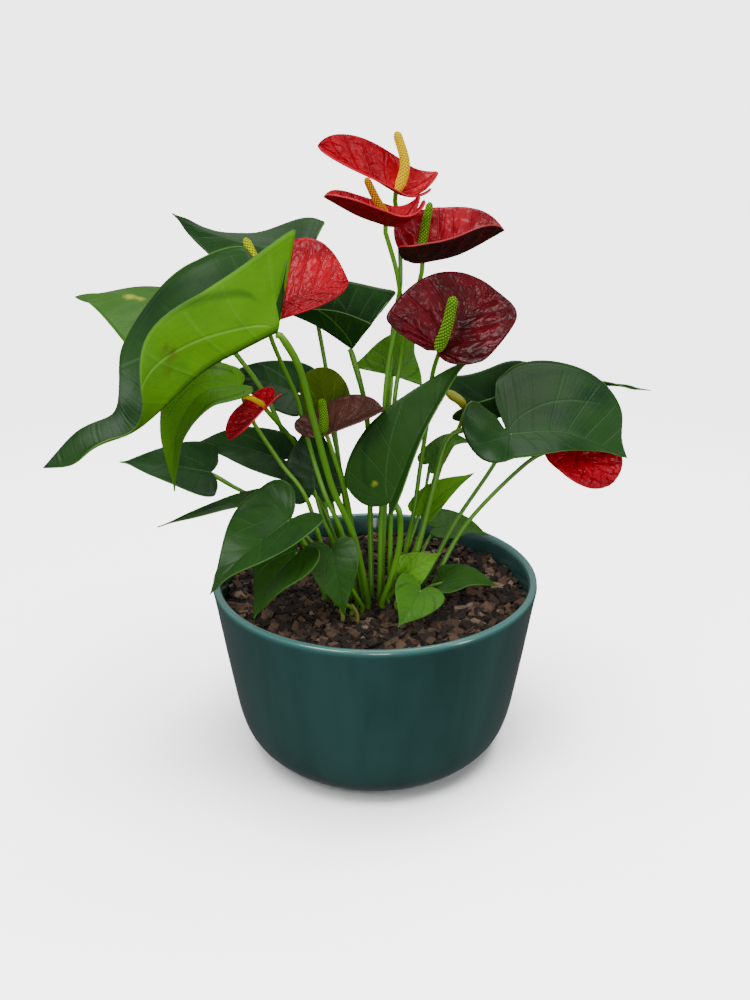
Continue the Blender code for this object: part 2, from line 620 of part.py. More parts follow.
def peduncle(name, plan, foot, group):
    """A flower's stem, which turns square to the spathe and stops just below it."""
    base, up = Blade(plan).base()
    way = np.vstack([stem_way(foot, plan, [base - up * NECK]), base - up * (SPATHE_THICK / 2 + SEAT_GAP)])
    made = tube(name, way, stem_radii(PEDUNCLE, len(way)))
    made.data.materials.append(material("stem_green"))
    group.objects.link(made)
    return made


def spathe(name, plan, group):
    made = blade_object(name, {**plan, "outline": ROUND}, SPATHE_THICK, group)
    made.data.materials.append(material("spathe_" + plan["colour"]))
    return made


def spadix(name, plan, group):
    """A sphere drawn out along the spadix, with florets as staggered bumps."""
    sides, rings = SPADIX_SIDES, SPADIX_RINGS
    base, up = Blade(plan).base()
    start = base + up * (SPATHE_THICK / 2 + SEAT_GAP)
    way, _ = smooth_curve([start, start + up * SPADIX_NECK, *plan["spadix"]], rings + 1)
    work = bmesh.new()
    bmesh.ops.create_uvsphere(work, u_segments=sides, v_segments=rings, radius=1.0)
    for vert in work.verts:
        share = math.acos(max(-1, min(1, -vert.co.z))) / math.pi
        ring = round(share * rings)
        side = round(math.atan2(vert.co.y, vert.co.x) / math.tau * sides)
        ahead = Vector(way[min(ring + 1, rings)] - way[max(ring - 1, 0)]).normalized()
        turn = Vector((0, 0, 1)).rotation_difference(ahead)
        swell = min(1.0, SPADIX_FOOT + SPADIX_WIDENING * share) * (1 - SPADIX_TAPER * share)
        bump = FLORET_HIGH if (ring + side) % 2 else FLORET_LOW
        radius = plan["spadix_radius"] * swell * bump
        if ring in (0, rings):
            radius = 0
        elif ring == 1:
            radius = min(radius, SPADIX_FOOT_RADIUS)
        angle = side / sides * math.tau
        offset = turn @ Vector((math.cos(angle) * radius, math.sin(angle) * radius, 0))
        vert.co = (Vector(way[ring]) + offset) * MM
    bmesh.ops.triangulate(work, faces=work.faces)
    mesh = bpy.data.meshes.new(name)
    work.to_mesh(mesh)
    work.free()
    mesh.materials.append(material("spadix_" + plan["spadix_colour"]))
    made = bpy.data.objects.new(name, mesh)
    group.objects.link(made)
    return made


def turned(name, profile, group, colour):
    """A closed solid turned around the Z axis from a profile of radius and height."""
    mesh = bpy.data.meshes.new(name)
    mesh.from_pydata([(radius * MM, 0, height * MM) for radius, height in profile],
                     [(i, i + 1) for i in range(len(profile) - 1)], [])
    made = bpy.data.objects.new(name, mesh)
    screw = made.modifiers.new("turn", "SCREW")
    screw.steps = POT_STEPS
    screw.render_steps = POT_STEPS
    screw.use_merge_vertices = True
    screw.merge_threshold = TURN_WELD
    screw.use_normal_calculate = True
    mesh.materials.append(material(colour))
    group.objects.link(made)
    return made


def pot_inside():
    """The pot's inner side, one wall inside the outer one, from below the lip down to the floor."""
    inner = [(radius - WALL, height) for radius, height in reversed(POT_SIDE) if height > WALL]
    return inner + [(FLOOR_RADIUS, WALL)]


def pot(group):
    profile = [(0, WALL), *reversed(pot_inside()), *reversed(POT_LIP), *reversed(POT_SIDE), (0, 0)]
    return turned("pot", profile, group, "glaze_teal")


def relief(x, y):
    """Height of the soil's crumbs above its level."""
    waves = 0.0
    for (pitch, sway, cross), (ahead, aside) in zip(CRUMB_WAVES, ((x, y), (y, x))):
        waves += math.sin(ahead * pitch + sway * math.sin(aside * cross))
    return CRUMB_HEIGHT * waves


def soil(feet, radii, group, cutters):
    """Soil that fills the pot, with a crumbly top and a plain hole for each stem."""
    inner = [(radius - FIT_GAP, height) for radius, height in pot_inside() if height < SOIL_TOP - SOIL_SHOULDER]
    inner[-1] = (inner[-1][0], WALL + FIT_GAP)
    side_radii, side_heights = zip(*POT_SIDE)
    rim = np.interp(SOIL_TOP, side_heights, side_radii) - WALL - FIT_GAP
    top = [(rim * ring / SOIL_RINGS, SOIL_TOP) for ring in range(SOIL_RINGS + 1)]
    ground = as_mesh(turned("ground", [*top, *inner, (0, WALL + FIT_GAP)], group, "soil_bark"), group)
    for vert in ground.data.vertices:
        x, y, z = vert.co / MM
        if z > SOIL_TOP - 1 and math.hypot(x, y) < rim - 1:
            vert.co.z += relief(x, y) * MM
    holes = []
    for name, (x, y) in feet.items():
        hole = bmesh.new()
        corner = (radii[name] + FIT_GAP) / math.cos(math.pi / HOLE_SIDES) * MM
        bmesh.ops.create_cone(hole, cap_ends=True, segments=HOLE_SIDES, radius1=corner, radius2=corner,
                              depth=2 * FOOT_DEPTH * MM)
        mesh = bpy.data.meshes.new(name + "_hole")
        hole.to_mesh(mesh)
        hole.free()
        made = bpy.data.objects.new(name + "_hole", mesh)
        made.location = (x * MM, y * MM, (SOIL_TOP - FIT_GAP) * MM)
        made.hide_render = True
        made.display_type = "WIRE"
        cutters.objects.link(made)
        holes.append(made)
    cut = ground.modifiers.new("holes", "BOOLEAN")
    cut.operation = "DIFFERENCE"
    cut.operand_type = "COLLECTION"
    cut.collection = cutters
    bpy.context.view_layer.update()
    made = as_mesh(ground, group)
    made.name = "soil"
    made.data.name = "soil"
    for hole in holes:
        bpy.data.objects.remove(hole, do_unlink=True)
    return made


def main():
    clear()
    group = bpy.data.collections.new("potted_anthurium")
    cutters = bpy.data.collections.new("cutters")
    bpy.context.scene.collection.children.link(group)
    bpy.context.scene.collection.children.link(cutters)

    bud_plan = {"stem": BUD_STEM}
    plans = {**LEAVES, **FLOWERS, "bud": bud_plan}
    feet = crown_feet(plans)
    radii = {name: plan.get("radius", PEDUNCLE) * STEM_SWELL for name, plan in plans.items()}

    for name, plan in LEAVES.items():
        leaf(name, plan, feet[name], group)
    for name, plan in FLOWERS.items():
        peduncle(name + "_peduncle", plan, feet[name], group)
        spathe(name + "_spathe", plan, group)
        spadix(name + "_spadix", plan, group)

    bud_way = stem_way(feet["bud"], bud_plan, BUD)
    bud_radii = np.interp(np.linspace(0, 1, len(bud_way)), *BUD_GIRTH)
    bud = tube("flower_bud", bud_way, bud_radii)
    bud.data.materials.append(material("bud_green"))
    group.objects.link(bud)

    for name, plan in SHEATHS.items():
        foot = plan["way"][0][:2]
        feet[name] = foot
        radii[name] = plan["radius"]
        way = [(*foot, SOIL_TOP - FOOT_DEPTH), *plan["way"]]
        sheath = tube(name, way, (plan["radius"], plan["radius"], plan["radius"] * SHEATH_TAPER))
        sheath.data.materials.append(material("sheath_dry"))
        group.objects.link(sheath)

    pot(group)
    soil(feet, radii, group, cutters)


main()
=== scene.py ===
import math

import bmesh
import bpy
import numpy as np
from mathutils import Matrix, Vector, noise


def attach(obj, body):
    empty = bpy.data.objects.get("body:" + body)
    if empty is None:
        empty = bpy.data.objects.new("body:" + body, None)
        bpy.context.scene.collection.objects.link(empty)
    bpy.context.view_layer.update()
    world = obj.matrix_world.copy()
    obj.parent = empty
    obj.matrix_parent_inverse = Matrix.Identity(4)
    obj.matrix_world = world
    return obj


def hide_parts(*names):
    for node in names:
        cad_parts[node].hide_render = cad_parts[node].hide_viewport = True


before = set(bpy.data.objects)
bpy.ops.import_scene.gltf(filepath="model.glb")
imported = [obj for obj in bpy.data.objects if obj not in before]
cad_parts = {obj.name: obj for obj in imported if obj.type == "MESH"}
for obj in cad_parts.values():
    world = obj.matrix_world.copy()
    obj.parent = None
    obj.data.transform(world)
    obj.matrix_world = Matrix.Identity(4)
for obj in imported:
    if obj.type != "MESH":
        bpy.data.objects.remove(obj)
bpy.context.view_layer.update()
mm = 0.001
print("frame loaded:", len(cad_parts), "nodes")


# A node socket that takes part in plain expressions
class Wire:
    def __init__(self, kit, socket):
        self.kit = kit
        self.socket = socket

    def __add__(self, other):
        return self.kit.maths("ADD", self, other)

    def __radd__(self, other):
        return self.kit.maths("ADD", other, self)

    def __sub__(self, other):
        return self.kit.maths("SUBTRACT", self, other)

    def __rsub__(self, other):
        return self.kit.maths("SUBTRACT", other, self)

    def __mul__(self, other):
        return self.kit.maths("MULTIPLY", self, other)

    def __rmul__(self, other):
        return self.kit.maths("MULTIPLY", other, self)

    def __truediv__(self, other):
        return self.kit.maths("DIVIDE", self, other)

    def __pow__(self, other):
        return self.kit.maths("POWER", self, other)

    def __abs__(self):
        return self.kit.maths("ABSOLUTE", self)


# Makes the nodes of one tree
class Kit:
    def __init__(self, tree):
        self.tree = tree

    def make(self, kind, settings=None, inputs=None, output=0):
        node = self.tree.nodes.new(kind)
        for key, value in (settings or {}).items():
            setattr(node, key, value)
        for key, value in (inputs or {}).items():
            self.plug(node, key, value)
        return Wire(self, node.outputs[output]) if len(node.outputs) else node

    def plug(self, node, key, value):
        if isinstance(value, Wire):
            self.tree.links.new(value.socket, node.inputs[key])
        else:
            node.inputs[key].default_value = value

    def maths(self, operation, *values):
        return self.make("ShaderNodeMath", {"operation": operation}, dict(enumerate(values)))

    def vector(self, operation, *values, output=0):
        return self.make("ShaderNodeVectorMath", {"operation": operation}, dict(enumerate(values)), output)

    def ease(self, value, low, high, start=0.0, end=1.0):
        inputs = {"Value": value, "From Min": low, "From Max": high, "To Min": start, "To Max": end}
        return self.make("ShaderNodeMapRange", {"interpolation_type": "SMOOTHSTEP"}, inputs)

    def mix(self, share, first, second):
        inputs = {0: share, 6: first, 7: second}
        return self.make("ShaderNodeMix", {"data_type": "RGBA"}, inputs, 2)

    def split(self, vector):
        node = self.make("ShaderNodeSeparateXYZ", None, {0: vector}).socket.node
        return [Wire(self, socket) for socket in node.outputs]

    def join(self, x, y, z):
        return self.make("ShaderNodeCombineXYZ", None, {0: x, 1: y, 2: z})

    def noise(self, vector, scale, detail=2.0, roughness=0.5, distortion=0.0, output=0):
        inputs = {"Vector": vector, "Scale": scale, "Detail": detail, "Roughness": roughness,
                  "Distortion": distortion}
        return self.make("ShaderNodeTexNoise", None, inputs, output)

    def objectPlace(self):
        return self.make("ShaderNodeTexCoord", output="Object")

    def named(self, name, output="Fac"):
        return self.make("ShaderNodeAttribute", {"attribute_name": name}, output=output)


def paint(red, green, blue):
    return (red, green, blue, 1.0)


def newMaterial(name, fixed):
    material = bpy.data.materials.new(name)
    material.use_nodes = True
    kit = Kit(material.node_tree)
    shader = material.node_tree.nodes["Principled BSDF"]
    for key, value in fixed.items():
        shader.inputs[key].default_value = value
    return material, kit, shader


# Leaves: the upper side, the under side and the thin pale edge. Each leaf's tone runs from dark to bright, partly its
# own colour and partly painted light and shade
leafFinish = {
    "darkUpper": paint(0.006, 0.033, 0.008), "brightUpper": paint(0.100, 0.310, 0.008),
    "darkUnder": paint(0.012, 0.060, 0.010), "brightUnder": paint(0.120, 0.350, 0.005),
    "olive": paint(0.105, 0.175, 0.003),
    "vein": paint(0.040, 0.130, 0.030), "underVein": paint(0.210, 0.460, 0.050),
    "edge": paint(0.075, 0.200, 0.020), "veins": 11.0, "basal": (0.70, 0.50), "basalGrooveShade": (1.05, 0.20),
    "spot": paint(0.110, 0.080, 0.012), "paleSpot": paint(0.420, 0.480, 0.030),
}


def bladePlace(kit):
    across, along, _ = kit.split(kit.make("ShaderNodeUVMap", {"uv_map": "blade"}))
    return abs(across * 2.0 - 1.0), along


def sideVeins(kit, side, along, count, width):
    distance = abs(kit.maths("FRACT", along * count) - 0.5)
    line = kit.ease(distance, 0.0, width, 1.0, 0.0)
    return line * kit.ease(side, 0.80, 1.0, 1.0, 0.0)


def midrib(kit, side, along, width):
    return kit.ease(side / (1.15 - along), 0.0, width, 1.0, 0.0)


# A vein that leaves the base, bows out and runs on towards the tip
def basalVein(kit, spread, power, width):
    along, across, _ = kit.split(kit.make("ShaderNodeUVMap", {"uv_map": "flat"}))
    way = kit.maths("MAXIMUM", along, 0.0) ** power * spread
    line = kit.ease(abs(across - way), 0.0, width, 1.0, 0.0)
    return line * kit.ease(along, 0.0, 0.04) * kit.ease(along, 0.45, 0.75, 1.0, 0.0)


def leafSide(name, upper):
    fixed = {"Coat Weight": 0.05 if upper else 0.0, "Coat Roughness": 0.2, "Specular IOR Level": 0.13}
    material, kit, shader = newMaterial(name, fixed)
    side, along = bladePlace(kit)
    place = kit.objectPlace()
    tone = kit.named("tone" if upper else "lowTone")
    blotch = kit.noise(place, 38.0, 3.0)
    grain = kit.noise(place, 420.0, 2.0)
    veins = sideVeins(kit, side, along, leafFinish["veins"], 0.07)
    fineVeins = sideVeins(kit, side, along, leafFinish["veins"] * 4.0, 0.16)
    rib = midrib(kit, side, along, 0.045)
    lateral = kit.ease(abs(side - 0.90), 0.0, 0.014, 1.0, 0.0)
    # tone and lowTone carry painted light and shade along with each leaf's own colour
    share = kit.maths("ADD", tone, (blotch - 0.5) * 0.30)
    dark, bright = ("darkUpper", "brightUpper") if upper else ("darkUnder", "brightUnder")
    colour = kit.mix(share, leafFinish[dark], leafFinish[bright])
    colour = kit.mix(kit.named("olive"), colour, leafFinish["olive"])
    vein = leafFinish["vein" if upper else "underVein"]
    colour = kit.mix(veins * kit.ease(blotch, 0.3, 0.7, 0.06, 0.20), colour, vein)
    colour = kit.mix(kit.ease(blotch, 0.45, 0.75) * 0.35, colour, leafFinish[dark])
    colour = kit.mix(lateral * 0.15, colour, vein)
    colour = kit.mix(rib * 0.7, colour, vein)
    # painted shade: a broad dark band along the groove of a basal vein
    spread, power = leafFinish["basalGrooveShade"]
    colour = kit.mix(basalVein(kit, spread, power, 0.10) * 0.45, colour, leafFinish[dark])
    basal = basalVein(kit, *leafFinish["basal"], 0.028)
    colour = kit.mix(basal * (0.35 if upper else 0.6), colour, vein)
    colour = kit.mix(kit.named("spot") * 0.8, colour, leafFinish["spot"])
    colour = kit.mix(kit.named("paleSpot") * 0.9, colour, leafFinish["paleSpot"])
    colour = kit.mix(kit.ease(side, 0.985, 0.996), colour, leafFinish["edge"])
    kit.plug(shader, "Base Color", colour)
    kit.plug(shader, "Roughness", blotch * 0.25 + (0.24 if upper else 0.36))
    height = grain * 0.35 + blotch * 1.6 - veins * (0.6 if upper else -0.6) - fineVeins * 0.15 - rib * 0.9
    height = height - basal * 0.8
    bump = kit.make("ShaderNodeBump", None, {"Strength": 0.5, "Distance": 0.0006, "Height": height})
    kit.plug(shader, "Normal", bump)
    return material


def edgeMaterial(name, colour):
    material, kit, shader = newMaterial(name, {"Roughness": 0.45})
    tint = kit.noise(kit.objectPlace(), 60.0)
    kit.plug(shader, "Base Color", kit.mix(tint * 0.5, colour, paint(*[c * 0.5 for c in colour[:3]])))
    return material


# Stems: green, paler at the knee below the blade, with fine lines along them
stemFinish = {
    "foot": paint(0.065, 0.170, 0.014), "green": paint(0.100, 0.300, 0.010), "knee": paint(0.170, 0.420, 0.016),
}


def stemMaterial():
    material, kit, shader = newMaterial("stemGreen", {"Roughness": 0.38})
    rise = kit.named("rise")
    place = kit.objectPlace()
    x, y, z = kit.split(place)
    streak = kit.noise(kit.join(x, y, z * 0.08), 420.0, 2.0)
    colour = kit.mix(kit.ease(rise, 0.05, 0.4), stemFinish["foot"], stemFinish["green"])
    colour = kit.mix(kit.ease(rise, 0.86, 0.97), colour, stemFinish["knee"])
    colour = kit.mix(streak * 0.45, colour, stemFinish["foot"])
    colour = kit.mix(kit.named("tone"), colour, stemFinish["knee"])
    kit.plug(shader, "Base Color", colour)
    bump = kit.make("ShaderNodeBump", None, {"Strength": 0.3, "Distance": 0.0003, "Height": streak})
    kit.plug(shader, "Normal", bump)
    return material


# Spathes: waxy, puckered between veins that run out from the spadix
# Each colour's under side is darker than its upper, partly its own colour and partly painted shade on the undersides
spatheFinish = {
    "red": {"upper": paint(0.600, 0.000, 0.016), "deep": paint(0.290, 0.000, 0.008),
            "under": paint(0.330, 0.002, 0.014), "vein": paint(0.620, 0.020, 0.048)},
    "maroon": {"upper": paint(0.140, 0.003, 0.010), "deep": paint(0.045, 0.004, 0.004),
               "under": paint(0.070, 0.006, 0.010), "vein": paint(0.260, 0.020, 0.036)},
    "brown": {"upper": paint(0.125, 0.040, 0.026), "deep": paint(0.060, 0.018, 0.012),
              "under": paint(0.100, 0.032, 0.020), "vein": paint(0.300, 0.140, 0.100)},
    "darkUnder": {"upper": paint(0.420, 0.004, 0.016), "deep": paint(0.180, 0.002, 0.008),
                  "under": paint(0.022, 0.007, 0.006), "vein": paint(0.540, 0.030, 0.045)},
}
spatheVeins = 8.0


def spatheSide(name, look, upper):
    fixed = {"Specular IOR Level": 0.19 if upper else 0.15}
    material, kit, shader = newMaterial(name, fixed)
    side, along = bladePlace(kit)
    place = kit.objectPlace()
    blotch = kit.noise(place, 45.0, 3.0)
    pucker = kit.noise(place, 230.0, 2.0, 0.5, 0.6)
    shake = kit.noise(place, 140.0, 1.0)
    lanes = kit.join(side * 7.0 + shake * 1.6, along * 26.0 + shake * 2.4, 0.0)
    cells = kit.make("ShaderNodeTexVoronoi", {"feature": "SMOOTH_F1"}, {"Vector": lanes, "Scale": 1.0})
    net = kit.ease(cells, 0.15, 0.75, 1.0, 0.0)
    veins = sideVeins(kit, side, along, spatheVeins, 0.10)
    colour = kit.mix(kit.ease(blotch, 0.35, 0.7), look["upper" if upper else "under"],
                     look["deep"] if upper else look["under"])
    # the lighter veins are partly their own colour and partly painted highlight along them
    colour = kit.mix(veins * (0.25 if upper else 0.15), colour, look["vein"])
    colour = kit.mix(kit.ease(pucker, 0.5, 0.75) * 0.35, colour, look["deep"])
    # painted shade in the sunken network between the raised cells
    colour = kit.mix((1.0 - net) * 0.35, colour, look["deep"])
    kit.plug(shader, "Base Color", colour)
    kit.plug(shader, "Roughness", pucker * 0.15 + (0.20 if upper else 0.34))
    height = pucker * 0.7 - veins * 1.0 + net * 0.9
    bump = kit.make("ShaderNodeBump", None, {"Strength": 0.8, "Distance": 0.0008, "Height": height})
    kit.plug(shader, "Normal", bump)
    return material


# Spadices: each floret is pale at its top and darker low down, partly its own colour and partly painted shade between
# the florets
spadixFinish = {
    "green": {"low": paint(0.070, 0.210, 0.006), "top": paint(0.260, 0.520, 0.020)},
    "yellow": {"low": paint(0.820, 0.560, 0.000), "top": paint(0.960, 0.760, 0.000)},
    "yellowGreen": {"low": paint(0.400, 0.480, 0.000), "top": paint(0.660, 0.720, 0.010)},
    "orange": {"low": paint(0.460, 0.130, 0.004), "top": paint(0.840, 0.400, 0.010)},
}


def spadixMaterial(name, look):
    material, kit, shader = newMaterial(name, {"Roughness": 0.6, "Specular IOR Level": 0.06})
    tint = kit.noise(kit.objectPlace(), 120.0)
    # the low colour also fills the core seen between the florets, partly as painted shade
    share = kit.ease(kit.named("bead"), 0.1, 0.95)
    colour = kit.mix(share, look["low"], look["top"])
    colour = kit.mix(kit.ease(tint, 0.45, 0.8) * 0.4, colour, look["low"])
    kit.plug(shader, "Base Color", colour)
    return material


# Pot: a teal glaze, paler at the lip, partly where the glaze breaks and partly painted highlight, that runs a little
# darker down the wall
glazeFinish = {
    "teal": paint(0.026, 0.084, 0.077), "deep": paint(0.014, 0.052, 0.047), "lip": paint(0.062, 0.205, 0.185),
    "lipLow": 0.1155, "lipHigh": 0.1195,
}


def glazeMaterial():
    fixed = {"Coat Weight": 0.5, "Coat Roughness": 0.04}
    material, kit, shader = newMaterial("tealGlaze", fixed)
    place = kit.objectPlace()
    x, y, z = kit.split(place)
    run = kit.noise(kit.join(x, y, z * 0.15), 26.0, 4.0)
    cloud = kit.noise(place, 14.0, 2.0)
    colour = kit.mix(kit.ease(run, 0.35, 0.7), glazeFinish["teal"], glazeFinish["deep"])
    colour = kit.mix(kit.ease(cloud, 0.4, 0.8) * 0.5, colour, glazeFinish["teal"])
    # paler band along the lip: partly glaze break, partly painted highlight
    colour = kit.mix(kit.ease(z, glazeFinish["lipLow"], glazeFinish["lipHigh"]) * 0.8, colour, glazeFinish["lip"])
    kit.plug(shader, "Base Color", colour)
    kit.plug(shader, "Roughness", cloud * 0.1 + 0.12)
    bump = kit.make("ShaderNodeBump", None, {"Strength": 0.12, "Distance": 0.0006, "Height": run})
    kit.plug(shader, "Normal", bump)
    return material


# Bark: mostly dark, with some brown and a few pale bits
barkFinish = {
    "dark": paint(0.015, 0.008, 0.005), "brown": paint(0.165, 0.092, 0.052), "pale": paint(0.300, 0.205, 0.140),
}


def barkMaterial():
    material, kit, shader = newMaterial("barkChips", {"Roughness": 0.85})
    draw = kit.named("draw")
    grain = kit.noise(kit.objectPlace(), 600.0, 3.0, 0.6)
    colour = kit.mix(kit.ease(draw, 0.35, 0.95), barkFinish["dark"], barkFinish["brown"])
    colour = kit.mix(kit.ease(draw, 0.955, 0.965), colour, barkFinish["pale"])
    colour = kit.mix(grain * 0.6, colour, barkFinish["dark"])
    kit.plug(shader, "Base Color", colour)
    bump = kit.make("ShaderNodeBump", None, {"Strength": 0.7, "Distance": 0.0006, "Height": grain})
    kit.plug(shader, "Normal", bump)
    return material


def plainMaterial(name, colour, roughness):
    material, kit, shader = newMaterial(name, {})
    tint = kit.noise(kit.objectPlace(), 160.0, 3.0)
    kit.plug(shader, "Base Color", kit.mix(tint * 0.5, colour, paint(*[c * 0.45 for c in colour[:3]])))
    kit.plug(shader, "Roughness", tint * 0.1 + roughness)
    return material


leafUpper = leafSide("leafUpper", True)
leafUnder = leafSide("leafUnder", False)
leafEdge = edgeMaterial("leafEdge", leafFinish["edge"])
stemGreen = stemMaterial()
print("materials made")


